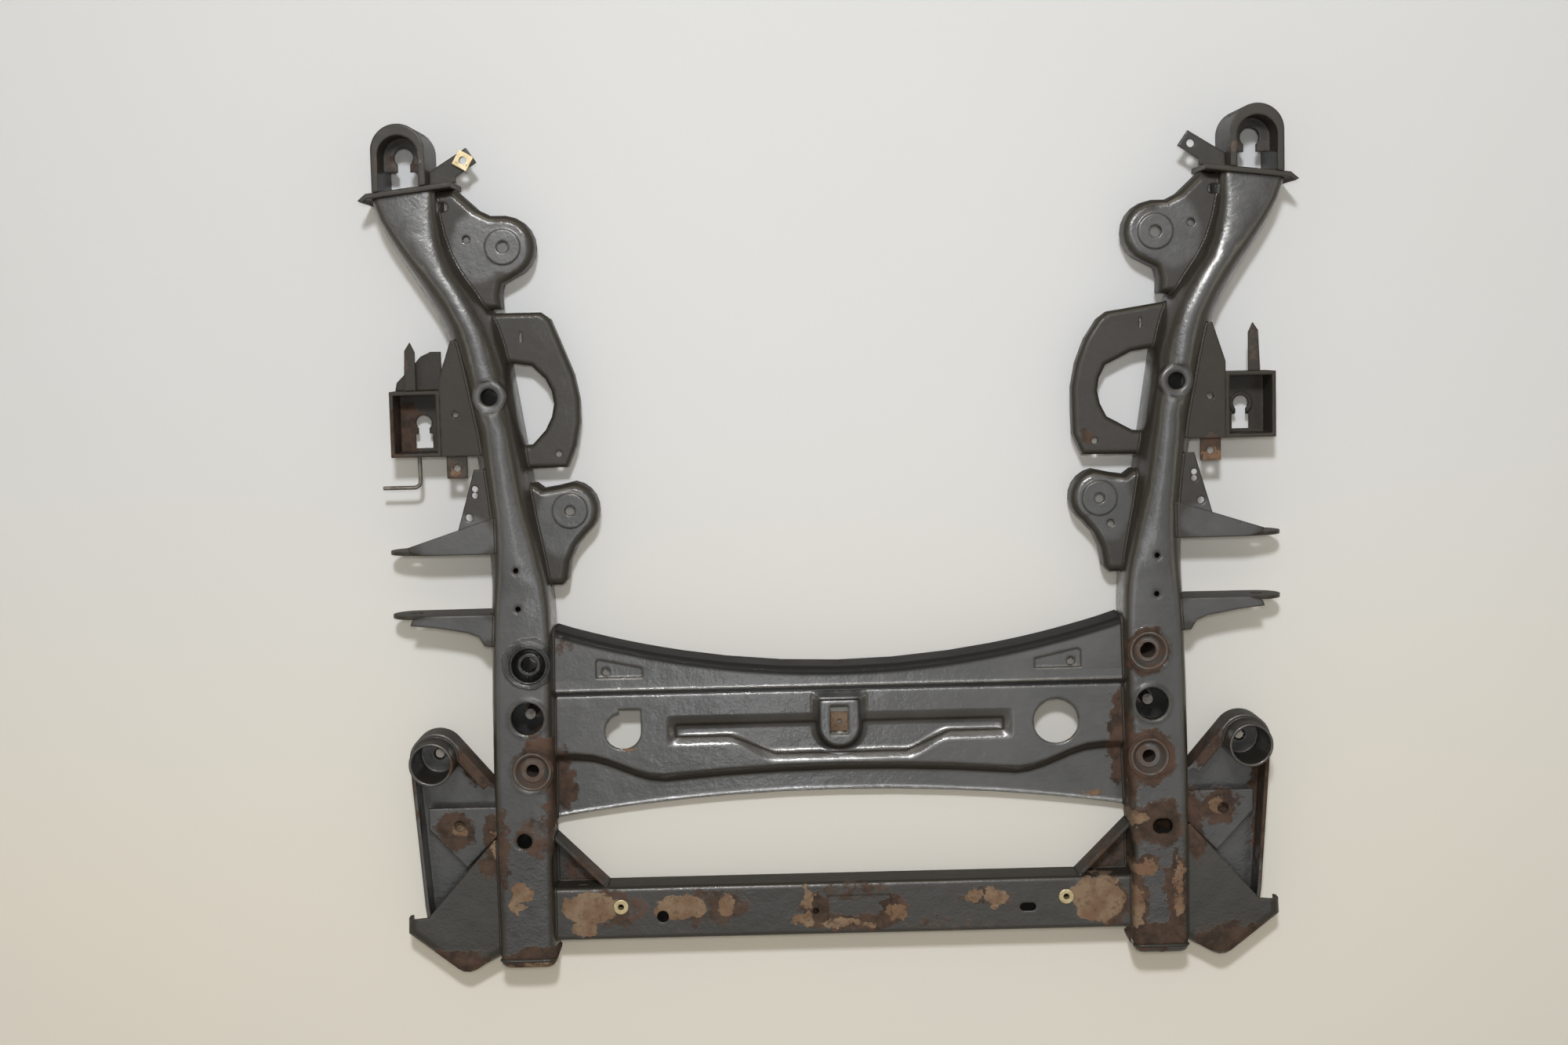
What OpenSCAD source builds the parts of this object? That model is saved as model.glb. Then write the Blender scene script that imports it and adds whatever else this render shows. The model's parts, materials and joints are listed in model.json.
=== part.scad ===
// Welded pressed-steel front subframe: two curved side rails, a crossmember and a rear crossbar.
// Millimetres. X runs across, Y towards the free rail ends, Z up. It lies on the plane z = 0.
// Every side piece is drawn on the +X side and mirrored for the other one.

/* [Sheet] */
// wall thickness of the rails and the pressed panels
sheet = 3; // [2.5:0.25:3.5]
// thickness of the folded brackets and plates
plate = 4; // [3:0.25:5]
// clearance kept between pieces that are welded to each other
seat = 0.15; // [0.1:0.05:0.25]

/* [Rails] */
// distance between the rail centrelines at the rear end
rear_span = 698; // [680:2:720]
// distance between the rail centrelines ahead of the crossmember
waist_span = 688; // [670:2:710]
// distance between the rail centrelines at the front ends
front_span = 912; // [880:2:940]
// widest width of a rail
rail_w = 67; // [64:1:72]
// height of the rail crown
rail_top = 80; // [76:1:86]
// height of the rail underside
rail_low = 4; // [4:0.5:6]
// height of the seam between the two halves of a rail
seam_z = 30; // [28:1:34]
// how far the upper half laps down over the lower half
lap = 10; // [8:1:11]
// rear end of the rails, where their caps start
rail_rear = -328; // [-340:1:-325]
// front end of the rails
rail_front = 510; // [500:1:520]
// where the rails start to lean outwards
arm_root = 90; // [80:1:100]
// lean of the front end plates, as rise over run
front_lean = 0.12; // [0.05:0.01:0.16]
// length of the rail end caps
cap_len = 9; // [8:0.5:12]
// edge radius of the rail end caps
cap_edge = 7; // [5:0.5:7]

/* [Rail fittings] */
// how far the front body sleeves sit inside the rail centreline
sleeve_in = 7.8; // [5:0.1:9]
// how far the rear body sleeves sit inside the rail centreline
sleeve_rear_in = 10.5; // [5:0.1:11]
// place of the rear body sleeves, behind the front ones
sleeve_back = 117; // [112:1:122]
// bore radius of the front body sleeves
sleeve_bore = 8.5; // [7:0.25:9.5]
// bore radius of the rear body sleeves
sleeve_rear_bore = 7; // [6:0.25:8]
// rim radius of the body sleeves
sleeve_r = 21; // [19:0.5:22]
// tube radius of the body sleeves
sleeve_tube = 13.5; // [12.5:0.25:14.5]
// place of the stud wells, behind the front sleeves
well_back = 58; // [55:1:61]
// how far the stud wells sit inside the rail centreline
well_in = 6.4; // [3:0.1:9]
// radius of the stud wells
well_r = 18; // [15:0.5:19]
// radius of the studs
stud_r = 6; // [5:0.25:7]
// top of the studs
stud_top = 50; // [36:1:60]
// place of the drain holes, behind the front sleeves
drain_back = 194; // [188:1:204]
// radius of the drain holes
drain_r = 8.5; // [6:0.25:10]
// place of the crown bosses on the arms
boss_y = 292; // [285:1:300]
// radius of the crown bosses
boss_r = 18; // [15:0.5:20]
// radius of the holes in the crown bosses
boss_hole = 9.5; // [7:0.25:11]

/* [Front ears] */
// outer radius of the ear arch
ear_r = 28.5; // [27:0.5:31]
// wall of the ear arch
ear_wall = 7; // [5:0.25:8]
// height of the ear
ear_h = 84; // [76:1:92]
// distance from the shelf plate to the centre of the arch
ear_reach = 40; // [37:0.5:44]
// height of the keyhole plate in the ear
ear_key_z = 40; // [30:1:50]
// radius of the round end of the ear keyhole
ear_key_r = 10.6; // [9:0.1:11.5]
// width of the neck of the ear keyhole
ear_neck = 14; // [10:0.5:14]
// thickness of the shelf plate
shelf_t = 6; // [5:0.5:8]
// height of the shelf plate
shelf_h = 82; // [78:1:90]
// height of the side tab beside the ear
tab_z = 52; // [46:1:60]
// radius of the hole in the side tab
tab_hole = 4.2; // [3.5:0.1:5]
// width of the square weld nut on the left tab
tab_nut_w = 17; // [14:0.5:17]

/* [Pads] */
// height of the pad faces
pad_z = 56; // [50:1:60]
// depth of the pad brackets
pad_depth = 34; // [24:1:34]
// edge radius of the pad brackets
pad_edge = 9; // [6:0.5:10]
// distance from the rail centreline to the front pads
front_pad_in = 86; // [82:1:90]
// place of the front pads, behind the rail front
front_pad_back = 57; // [55:1:59]
// radius of the front pad head
front_pad_r = 34; // [32:0.5:35]
// distance from the rail centreline to the rear pads
rear_pad_in = 64.5; // [61:0.5:68]
// place of the rear pads
rear_pad_y = 166; // [163:1:169]
// radius of the rear pad head
rear_pad_r = 31; // [29:0.5:32]
// radius of the raised ring on each pad
pad_ring_r = 19; // [16:0.5:20]
// height of the raised ring on each pad
pad_ring_h = 3; // [1.5:0.25:4]
// radius of the front pad hole
front_pad_hole = 6.5; // [5:0.25:8]
// radius of the rear pad hole
rear_pad_hole = 5.5; // [4:0.25:7]

/* [Guards] */
// height of the curved guards
guard_z = 48; // [44:1:54]
// depth of the curved guards
guard_depth = 22; // [16:1:24]
// edge radius of the curved guards
guard_edge = 6; // [4:0.5:7]
// inward reach of the guards from the rail centreline
guard_reach = 97; // [93:1:101]
// extra inward reach of the right guard
guard_extra = 14; // [0:1:18]

/* [Side boxes] */
// height of the side box rim
box_top = 72; // [68:1:76]
// underside of the side box
box_low = 22; // [22:1:28]
// distance from the rail centreline to the side box
box_gap = 56.5; // [53:0.5:60]
// width of the side box
box_w = 54; // [50:1:60]
// rear wall of the side box
box_rear = 229; // [226:1:232]
// front wall of the side box
box_front = 300; // [296:1:304]
// radius of the round end of the box keyhole
box_key_r = 8.5; // [7:0.25:10]
// half the width of the wide end of the box keyhole
box_key_w = 9.5; // [8:0.25:11]
// front end of the clip strips
clip_front = 353; // [340:1:360]
// thickness of the clip strips and the small tabs
strip = 3; // [2:0.25:3.5]
// radius of the hook rod
rod_r = 2.2; // [1.8:0.1:3]
// bend radius of the hook rod
rod_bend = 7; // [5:0.5:10]
// drop of the hook rod behind the box
rod_drop = 34; // [26:1:40]
// length of the hook rod tail
rod_tail = 41; // [30:1:46]

/* [Arm forks] */
// inner face of the front fork
fork_front_y = 122; // [120:0.5:124]
// inner face of the rear fork
fork_rear_y = 56; // [54:0.5:58]
// distance from the rail centreline to the fork bolt
fork_reach = 117; // [112:1:122]
// height of the fork bolt
fork_bolt_z = 44; // [40:1:46]
// radius of the fork ends
fork_end_r = 26; // [22:0.5:28]
// radius of the fork bolt hole
fork_hole = 7; // [5:0.25:8]
// height of the fork flanges
fork_top = 76; // [74:1:77]

/* [Crossmember] */
// height of the front ridge of the crossmember
ridge_z = 62; // [58:1:64]
// height of the middle panel
panel_z = 50; // [46:1:53]
// height of the rear lip
lip_z = 28; // [26:1:34]
// underside of the front wall
apron_z = 8; // [4:1:14]
// front edge at the middle
cm_front = -12; // [-14:1:-6]
// how far the front edge runs forward at the rails
cm_front_rise = 48; // [40:1:54]
// rear edge at the middle
cm_rear = -156; // [-162:1:-154]
// how far the rear edge runs back at the rails
cm_rear_drop = 23; // [16:1:30]
// step between the ridge and the panel
cm_step = -33; // [-35:0.5:-32]
// step between the panel and the lip at the middle
cm_fall = -122; // [-125:0.5:-120]
// how far that step swings forward at the rails
cm_swing = 17; // [10:1:20]
// half the distance between the round holes
cm_hole_x = 239; // [234:1:244]
// place of the round holes
cm_hole_y = -80; // [-82:0.5:-78]
// radius of the left round hole
cm_hole_left = 20; // [16:0.5:23]
// radius of the right round hole
cm_hole_right = 25; // [18:0.5:27]
// depth of the pressed groove
groove_d = 6; // [4:0.5:7]
// height of the raised boss in the middle
cm_boss_h = 7; // [4:0.5:9]

/* [Crossbar] */
// front face of the crossbar
bar_front = -252; // [-256:1:-250]
// rear face of the crossbar
bar_rear = -311; // [-316:1:-308]
// height of the crossbar face
bar_z = 62; // [58:1:66]
// depth of the crossbar
bar_d = 48; // [42:1:50]
// corner radius of the crossbar
bar_edge = 5; // [4:0.5:7]
// half the distance between the threaded inserts
insert_x = 246; // [240:1:252]
// place of the threaded inserts, behind the crossbar front
insert_back = 22; // [18:1:26]
// bore radius of the threaded inserts
insert_bore = 3.3; // [2.5:0.1:4]
// rim radius of the threaded inserts
insert_r = 8.5; // [7:0.25:10]
// reach of the corner gussets along the crossbar
gusset_x = 56; // [46:1:62]

/* [Corner brackets] */
// floor underside of the corner brackets
corner_low = 22; // [22:1:24]
// rim height of the corner brackets
corner_top = 60; // [54:1:62]
// distance from the rail centreline to the corner sleeves
tube_reach = 96; // [93:1:99]
// place of the corner sleeves
tube_y = -104; // [-107:1:-101]
// outer radius of the corner sleeves
tube_r = 24; // [22:0.5:25]
// wall of the corner sleeves
tube_wall = 3.5; // [2.5:0.25:4.5]
// top of the corner sleeves
tube_top = 94; // [86:1:104]
// radius of the hole in the sleeve floor
tube_hole = 6; // [4:0.25:8]
// width of the flange along the strap of the corner bracket
strap_w = 12; // [8:0.5:14]
// height of the small brace in the corner bracket
brace_z = 42; // [38:1:46]
// depth of the folded lip on the corner cover
cover_lip = 24; // [18:1:30]
// edge radius of the folded lip on the corner cover
cover_edge = 12; // [8:0.5:12]

/* [Hidden] */
$fn = 48;
paint = [0.16, 0.16, 0.17];
zinc = [0.78, 0.7, 0.45];
steel = [0.45, 0.43, 0.4];
rear_x = rear_span / 2;
waist_x = waist_span / 2;
front_x = front_span / 2;
half_w = rail_w / 2;
rail_marks = [rail_rear, rail_rear + 36, -200, -120, -40, 30, 60, 85, 110, 135, 160, 190, 220, 255, 290, 320, 345,
  365, 385, 405, 425, 445, 465, rail_front - 25, rail_front];
rear_line = [[rail_rear, rear_x], [-200, rear_x], [-60, (rear_x + waist_x) / 2], [30, waist_x], [90, waist_x]];
arm_curve = [[0, 0], [0.2, 0.09], [0.37, 0.18], [0.61, 0.34], [0.69, 0.44], [0.73, 0.53], [0.81, 0.74],
  [0.89, 0.89], [0.94, 0.95], [1, 1]];
girth = [[rail_rear, 0.92], [-220, 0.92], [-130, 0.985], [0, 1], [60, 0.985], [120, 0.9], [175, 0.84],
  [245, 0.83], [345, 0.9], [400, 0.9], [435, 0.84], [467, 0.9], [490, 0.98], [rail_front, 1.05]];
squareness = [[-340, 8], [20, 8], [70, 6], [110, 4], [150, 2.7], [245, 2.3], [380, 2.2], [425, 2.5],
  [455, 3.4], [480, 5], [rail_front, 8]];
belly = [290, 320, 340, 360];
crown = [[rail_rear, -3], [rail_rear + 36, -3], [-200, -1], [-60, 0], [140, 0], [290, 2], [400, 2], [rail_front, -2]];

// Smooth lines along a rail, as functions of y.
function rail_line(y) = y < arm_root ? lookup(y, rear_line)
  : waist_x + (front_x - waist_x) * lookup((y - arm_root) / (rail_front - arm_root), arm_curve);
function rail_x(y) = (rail_line(y - 16) + rail_line(y - 8) + rail_line(y) + rail_line(y + 8)
  + rail_line(y + 16)) / 5;
function rail_half(y) = half_w * (lookup(y - 10, girth) + lookup(y, girth) + lookup(y + 10, girth)) / 3;
function rail_crown(y) = rail_top + lookup(y, crown);
function lean(y) = front_lean * lookup(y, [[rail_front - 70, 0], [rail_front, 1]]);

// Points of a rail section at y, grown by d: the crown, and the lower edge at height z.
function rail_point(y, x, z) = [rail_x(y) + x, y - lean(y) * x, z];
function crown_point(y, a, d) = let (
    e = 2 / lookup(y, squareness),
    w = (rail_half(y) + d) * sign(cos(a)) * pow(abs(cos(a)), e),
    h = (rail_crown(y) + d - seam_z) * pow(abs(sin(a)), e)
  ) rail_point(y, w, seam_z + h);
function side_point(y, s, d, z) = rail_point(y, s * (rail_half(y) + d), z);
function belly_point(y, a, d) = let (
    w = (rail_half(y) - sheet - seat + d) * sign(cos(a)) * pow(abs(cos(a)), 1 / 3),
    h = (seam_z - rail_low + d) * min(1, 1.06 * pow(abs(sin(a)), 1 / 3))
  ) rail_point(y, w, seam_z - h);
function upper_ring(y) = concat(
  [side_point(y, 1, 0, seam_z - lap)],
  [for (a = [0:15:180]) crown_point(y, a, 0)],
  [side_point(y, -1, 0, seam_z - lap), side_point(y, -1, -sheet, seam_z - lap)],
  [for (a = [180:-15:0]) crown_point(y, a, -sheet)],
  [side_point(y, 1, -sheet, seam_z - lap)]);
function lower_ring(y) = concat(
  [for (a = belly) belly_point(y, a, 0)],
  [for (i = [len(belly) - 1:-1:0]) belly_point(y, belly[i], -sheet)],
  [for (a = belly) belly_point(y, 540 - a, -sheet)],
  [for (i = [len(belly) - 1:-1:0]) belly_point(y, 540 - belly[i], 0)]);
function solid_ring(y, d) = concat(
  [side_point(y, 0, d, rail_low - d), side_point(y, 1, d, rail_low - d)],
  [for (a = [0:15:180]) crown_point(y, a, d)],
  [side_point(y, -1, d, rail_low - d)]);

// The end face of a C-shaped ring of m points, as a strip from point a on; points j and k - j face each other.
function strip_face(m, a, k) = [for (j = [a:a + m / 2 - 2])
  [for (i = [j, j + 1, k - j - 1, k - j]) (i + m) % m]];

// A closed skin over rings of equally many points, with the faces of its ends.
module sweep(rings, ends) {
  m = len(rings[0]);
  n = len(rings);
  sides = [for (i = [0:n - 2], j = [0:m - 1]) let (a = i * m + j, b = i * m + (j + 1) % m)
    each [[a, b, b + m], [a, b + m, a + m]]];
  first = [for (f = ends) [for (i = [len(f) - 1:-1:0]) f[i]]];
  last = [for (f = ends) [for (j = f) (n - 1) * m + j]];
  polyhedron(points = [for (r = rings) each r], faces = concat(sides, first, last), convexity = 8);
}

// The rail as one filled body, for trimming what is welded to it.
module rail_body(y0, y1) {
  rings = [for (y = rail_marks) if (y >= y0 && y <= y1) solid_ring(y, seat)];
  sweep(rings, [[for (j = [0:len(rings[0]) - 1]) j]]);
}

// The plan of the space between the rails, where their sides stand upright.
module between_rails(d = 0) {
  side = [for (y = rail_marks) if (y >= -200 && y <= 110) [rail_x(y) - rail_half(y) - seat - d, y]];
  polygon(concat(side, [for (i = [len(side) - 1:-1:0]) [-side[i].x, side[i].y]]));
}

// Miter inset of a closed outline that runs anticlockwise, and offset of an open line.
function unit(v) = v / norm(v);
function turned(a, b) = unit([a.y - b.y, b.x - a.x]);
function inset(p, d) = [for (i = [0:len(p) - 1]) let (
    n1 = turned(p[(i + len(p) - 1) % len(p)], p[i]),
    n2 = turned(p[i], p[(i + 1) % len(p)])
  ) p[i] + (n1 + n2) * d / (1 + n1 * n2)];
function beside(p, d) = [for (i = [0:len(p) - 1]) let (
    n1 = turned(p[max(i - 1, 0)], p[max(i, 1)]),
    n2 = turned(p[min(i, len(p) - 2)], p[min(i + 1, len(p) - 1)])
  ) p[i] + (n1 + n2) * d / (1 + n1 * n2)];
function arc(c, r, a0, a1, n) = [for (i = [0:n]) let (a = a0 + (a1 - a0) * i / n) c + r * [cos(a), sin(a)]];

// Triangles of a closed outline p that runs anticlockwise, found by cutting off one ear after another;
// k holds the numbers of the points that are left.
function turn(a, b, c) = (b.x - a.x) * (c.y - a.y) - (b.y - a.y) * (c.x - a.x);
function holds(a, b, c, q) = turn(a, b, q) >= 0 && turn(b, c, q) >= 0 && turn(c, a, q) >= 0;
function corner_of(k, i) = [k[(i + len(k) - 1) % len(k)], k[i], k[(i + 1) % len(k)]];
function is_ear(p, k, i) = let (t = corner_of(k, i)) turn(p[t[0]], p[t[1]], p[t[2]]) > 0
  && len([for (q = k) if (len(search(q, t)) == 0 && holds(p[t[0]], p[t[1]], p[t[2]], p[q])) q]) == 0;
function ears(p, k) = len(k) == 3 ? [k] : let (i = [for (j = [0:len(k) - 1]) if (is_ear(p, k, j)) j][0])
  concat([corner_of(k, i)], ears(p, [for (j = [0:len(k) - 1]) if (j != i) k[j]]));

// A pressed cup over an outline: walls from z0, a rounded edge of radius r, a flat face at z1.
module pressed(p, z0, z1, r, t) {
  m = len(p);
  steps = [0, 30, 60, 90];
  outer = concat([[0, z0]], [for (a = steps) [r * (1 - cos(a)), z1 - r + r * sin(a)]]);
  inner = concat([[t, z0]], [for (a = steps) [t + (r - t) * (1 - cos(a)), z1 - r + (r - t) * sin(a)]]);
  k = len(outer);
  pts = [for (s = concat(outer, inner)) each [for (q = inset(p, s[0])) [q.x, q.y, s[1]]]];
  out = [for (i = [0:k - 2], j = [0:m - 1]) let (a = i * m + j, b = i * m + (j + 1) % m)
    each [[a, a + m, b + m], [a, b + m, b]]];
  in = [for (i = [k:2 * k - 2], j = [0:m - 1]) let (a = i * m + j, b = i * m + (j + 1) % m)
    each [[a, b + m, a + m], [a, b, b + m]]];
  foot = [for (j = [0:m - 1]) let (q = (j + 1) % m) each [[j, q, k * m + q], [j, k * m + q, k * m + j]]];
  cap = ears(inset(p, r), [for (j = [0:m - 1]) j]);
  top = [for (f = cap) [for (i = [2, 1, 0]) (k - 1) * m + f[i]]];
  roof = [for (f = cap) [for (j = f) (2 * k - 1) * m + j]];
  polyhedron(points = pts, faces = concat(out, in, foot, top, roof), convexity = 8);
}

module on_side(s) {
  if (s > 0) children();
  else mirror([1, 0, 0]) children();
}

// Rails

function sleeve_x(y) = rail_x(y) - (y < 0 ? sleeve_rear_in : sleeve_in);
function well_x() = rail_x(-well_back) - well_in;

module land(x, y, r, z0) {
  translate([x, y, z0]) cylinder(h = rail_crown(y) + 1 - z0, r = r);
}

module drill(x, y, r, z0, z1) {
  translate([x, y, z0]) cylinder(h = z1 - z0, r = r);
}

module rail_upper(s) {
  top = rail_top + 20;
  bx = rail_x(boss_y) - 3;
  ax = sleeve_x(0);
  rx = sleeve_x(-sleeve_back);
  wx = well_x();
  bz = rail_crown(boss_y) - 2.5;
  color(paint) on_side(s) difference() {
    union() {
      difference() {
        sweep([for (y = rail_marks) upper_ring(y)], strip_face(30, 0, 29));
        drill(bx, boss_y, boss_r, bz, top);
      }
      land(ax, 0, sleeve_r + 2.5, rail_top - 5);
      land(rx, -sleeve_back, sleeve_r + 2.5, rail_top - 6);
      land(wx, -well_back, well_r + 3, rail_top - 9);
      drill(bx, boss_y, boss_r, bz - 7, bz);
    }
    drill(ax, 0, sleeve_r + seat, rail_top - 22, top);
    drill(rx, -sleeve_back, sleeve_r + seat, rail_top - 22, top);
    drill(wx, -well_back, well_r, rail_top - 22, top);
    drill(bx, boss_y, boss_hole, bz - 20, top);
    drill(rear_x - 1, -drain_back, drain_r, rail_top - 22, top);
    if (s > 0) drill(rear_x + 4, -drain_back, drain_r, rail_top - 22, top);
    drill(waist_x + 2, 62, 3, rail_top - 12, top);
    drill(waist_x + 3, 104, 3, rail_top - 12, top);
  }
}

module rail_lower(s) {
  color(paint) on_side(s) difference() {
    sweep([for (y = rail_marks) lower_ring(y)], strip_face(16, -4, 7));
    drill(sleeve_x(0), 0, sleeve_tube + seat, rail_low - 2, rail_low + 12);
    drill(sleeve_x(-sleeve_back), -sleeve_back, sleeve_tube + seat, rail_low - 2, rail_low + 12);
  }
}

// Section of the rear end of a rail, grown by d, at the place y.
function cap_ring(y, d) = concat(
  [for (a = [0:15:180]) let (p = crown_point(rail_rear, a, d)) [p.x, y, p.z]],
  [for (i = [-1, 1]) [rear_x + i * (rail_half(rail_rear) + d), y, rail_low - d]]);
cap_face = [[for (j = [0:14]) j]];

module rail_cap(s) {
  y = rail_rear - seat;
  e = cap_edge;
  bend = [for (a = [90:-22.5:0]) cap_ring(y - cap_len + e - e * sin(a), e * cos(a) - e)];
  color(paint) on_side(s) sweep(concat(bend, [cap_ring(y, 0)]), cap_face);
}

// The rear end of a rail with its cap, for trimming what is welded beside it.
module cap_body() {
  sweep([cap_ring(rail_rear - cap_len - 2 * seat, seat), cap_ring(rail_rear + 1, seat)], cap_face);
}

module body_sleeve(y, bore) {
  z = rail_crown(y) + 1;
  translate([sleeve_x(y), y, 0]) rotate_extrude() polygon([
    [bore, 0], [sleeve_tube, 0], [sleeve_tube, z - 16], [sleeve_r, z - 8], [sleeve_r, z],
    [sleeve_r - 2.5, z], [sleeve_tube + 0.8, z - 8.5], [sleeve_tube - 1, z - 6.5], [bore, z - 6.5]]);
}

module body_sleeves_front() {
  color(steel) for (s = [-1, 1]) on_side(s) body_sleeve(0, sleeve_bore);
}

module body_sleeves_rear() {
  color(steel) for (s = [-1, 1]) on_side(s) body_sleeve(-sleeve_back, sleeve_rear_bore);
}

module rail_studs() {
  z0 = rail_low + sheet + seat;
  color(zinc) for (s = [-1, 1]) on_side(s) translate([well_x(), -well_back, z0]) {
    cylinder(h = 9, r = stud_r + 5, $fn = 6);
    cylinder(h = stud_top - z0, r = stud_r);
  }
}

// Front ears

function shelf_y(x) = rail_front + seat - front_lean * (x - rail_x(rail_front));
ear_x = front_x + 1;
ear_y = shelf_y(ear_x) + shelf_t + ear_reach;
ear_in = ear_r - ear_wall;

module shelf(s) {
  x0 = rail_x(rail_front) - 53;
  x1 = rail_x(rail_front) + 38;
  color(paint) on_side(s) linear_extrude(height = shelf_h) polygon([
    [x0, shelf_y(x0)], [x1, shelf_y(x1)], [x1 + 4, shelf_y(x1) - 4], [x1 + 9, shelf_y(x1) - 1.5],
    [x1, shelf_y(x1) + shelf_t], [x0, shelf_y(x0) + shelf_t]]);
}

module above_shelf(h) {
  x0 = ear_x - 80;
  x1 = ear_x + 80;
  y = shelf_t + seat;
  translate([0, 0, -1]) linear_extrude(height = h + 2) polygon([
    [x0, shelf_y(x0) + y], [x1, shelf_y(x1) + y], [x1, ear_y + 80], [x0, ear_y + 80]]);
}

module ear(s) {
  color(paint) on_side(s) intersection() {
    above_shelf(ear_h);
    union() {
      difference() {
        union() {
          translate([ear_x, ear_y, 0]) cylinder(h = ear_h, r = ear_r);
          translate([ear_x - ear_r, ear_y - 60, 0]) cube([2 * ear_r, 60, ear_h]);
        }
        translate([ear_x, ear_y - 5, -1]) cylinder(h = ear_h + 2, r = ear_in);
        translate([ear_x - ear_in, ear_y - 66, -1]) cube([2 * ear_in, 61, ear_h + 2]);
      }
      difference() {
        translate([ear_x - ear_in - 1, ear_y - 60, ear_key_z]) cube([2 * ear_in + 2, 60 + ear_in - 2, 5]);
        translate([ear_x, ear_y - 4, ear_key_z - 1]) cylinder(h = 7, r = ear_key_r);
        translate([ear_x - ear_neck / 2, ear_y - 34, ear_key_z - 1]) cube([ear_neck, 30, 7]);
        translate([ear_x - ear_in, ear_y - 66, ear_key_z - 1]) cube([2 * ear_in, 46, 7]);
      }
    }
  }
}

tab_c = [front_x - 65, ear_y - 10];

module tab(s) {
  a = tab_c;
  x1 = ear_x - ear_r - seat;
  color(paint) on_side(s) difference() {
    translate([0, 0, tab_z]) linear_extrude(height = strip) intersection() {
      polygon([[x1, a.y - 80], [x1, a.y - 11], a + [-3, 14], a + [-14, -2], a + [9, -17], a + [10, -80]]);
      polygon([
        [x1 - 90, shelf_y(x1 - 90) + shelf_t + seat], [x1, shelf_y(x1) + shelf_t + seat],
        [x1, a.y + 40], [x1 - 90, a.y + 40]]);
    }
    drill(a.x, a.y, tab_hole, tab_z - 1, tab_z + strip + 1);
  }
}

module tab_nut() {
  color(zinc) on_side(-1) translate([tab_c.x, tab_c.y, tab_z + strip + seat]) rotate(30) difference() {
    translate([-tab_nut_w / 2, -tab_nut_w / 2, 0]) cube([tab_nut_w, tab_nut_w, 6.5]);
    translate([0, 0, -1]) cylinder(h = 9, r = tab_hole);
  }
}

// Pads and guards

front_pad_y = rail_front - front_pad_back;
front_pad = [rail_x(front_pad_y) - front_pad_in, front_pad_y];
rear_pad = [rail_x(rear_pad_y) - rear_pad_in, rear_pad_y];

module pad_face(c, hole) {
  difference() {
    union() {
      children();
      translate([c.x, c.y, pad_z - 1]) cylinder(h = pad_ring_h + 1, r = pad_ring_r);
    }
    drill(c.x, c.y, hole, pad_z - pad_depth, pad_z + 20);
  }
}

module front_pad_bracket(s) {
  c = front_pad;
  x1 = rail_x(rail_front) - 52;
  x2 = rail_x(rail_front) - 24;
  line = concat(
    [[rail_x(385) + 8, 384], [rail_x(470), 470]],
    [[x2, shelf_y(x2) - 2 * seat], [x1, shelf_y(x1) - 2 * seat], c + [27, 41], c + [13, front_pad_r]],
    arc(c, front_pad_r, 96, 250, 9),
    [c + [2, -39], c + [5, -51], c + [4, -66]]);
  color(paint) on_side(s) difference() {
    pad_face(c, front_pad_hole) pressed(line, pad_z - pad_depth, pad_z, pad_edge, sheet);
    rail_body(350, 600);
    drill(c.x + 39, c.y + 9, 4, pad_z - 20, pad_z + 9);
    drill(x1 + 12, rail_front - 13, 5.5, pad_z - 20, pad_z + 9);
  }
}

module rear_pad_bracket(s) {
  c = rear_pad;
  line = concat(
    [[rail_x(86), c.y - 81], [rail_x(200), c.y + 34], c + [37, 30], c + [29, 24], c + [15, 26]],
    arc(c, rear_pad_r, 100, 235, 8),
    [c + [-6, -39], c + [2, -56], c + [5, -76], c + [11, -82]]);
  color(paint) on_side(s) difference() {
    pad_face(c, rear_pad_hole) pressed(line, pad_z - pad_depth, pad_z, pad_edge, sheet);
    rail_body(60, 230);
    if (s > 0) drill(c.x + 12, c.y - 28, 4, pad_z - 20, pad_z + 9);
  }
}

module guard(s) {
  e = s > 0 ? guard_extra : 0;
  x = rail_x(boss_y) - guard_reach;
  i = x - e;
  line = [[rail_x(382), 382], [i + 40, 382 - e], [i + 29, 374 - e], [i + 15, 339], [i + 5, 313], [i, 287],
    [i, 262], [i + 5 - 0.3 * e, 236], [i + 15 - 0.3 * e, 213], [rail_x(212), 212], [rail_x(236), 236],
    [x + 53, 238], [i + 38, 254], [i + 31, 268], [i + 28, 282], [i + 30, 296], [i + 37, 310], [x + 51, 324],
    [rail_x(332), 333]];
  color(paint) on_side(s) difference() {
    pressed(line, guard_z - guard_depth, guard_z, guard_edge, sheet);
    rail_body(180, 410);
    translate([x + 60, 350, guard_z - 9]) cube([3, 11, 20]);
    drill(i + 24, 228, 3.5, guard_z - 9, guard_z + 9);
  }
}

// Side boxes

box_y = (box_rear + box_front) / 2;
box_in = rail_x(box_y) + box_gap;
box_out = box_in + box_w;
box_mid = [(box_in + box_out + plate) / 2, box_y];

module box(s) {
  w = box_w;
  d = box_front - box_rear;
  color(paint) on_side(s) difference() {
    translate([box_in, box_rear, box_low]) cube([w, d, box_top - box_low]);
    difference() {
      translate([box_in + plate, box_rear + plate, box_low + plate])
        cube([w - 2 * plate, d - 2 * plate, box_top]);
      if (s > 0) drill(box_mid.x - 4, box_mid.y, box_key_r + 4, 0, box_low + plate + 3);
    }
    drill(box_mid.x - 4, box_mid.y, box_key_r, box_low - 1, box_low + plate + 9);
    translate([box_mid.x - 4 - 0.7 * box_key_r, box_mid.y - 16, box_low - 1])
      cube([1.4 * box_key_r, 16, plate + 9]);
    translate([box_mid.x - 4 - box_key_w, box_mid.y - 28, box_low - 1]) cube([2 * box_key_w, 16, plate + 9]);
  }
}

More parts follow.
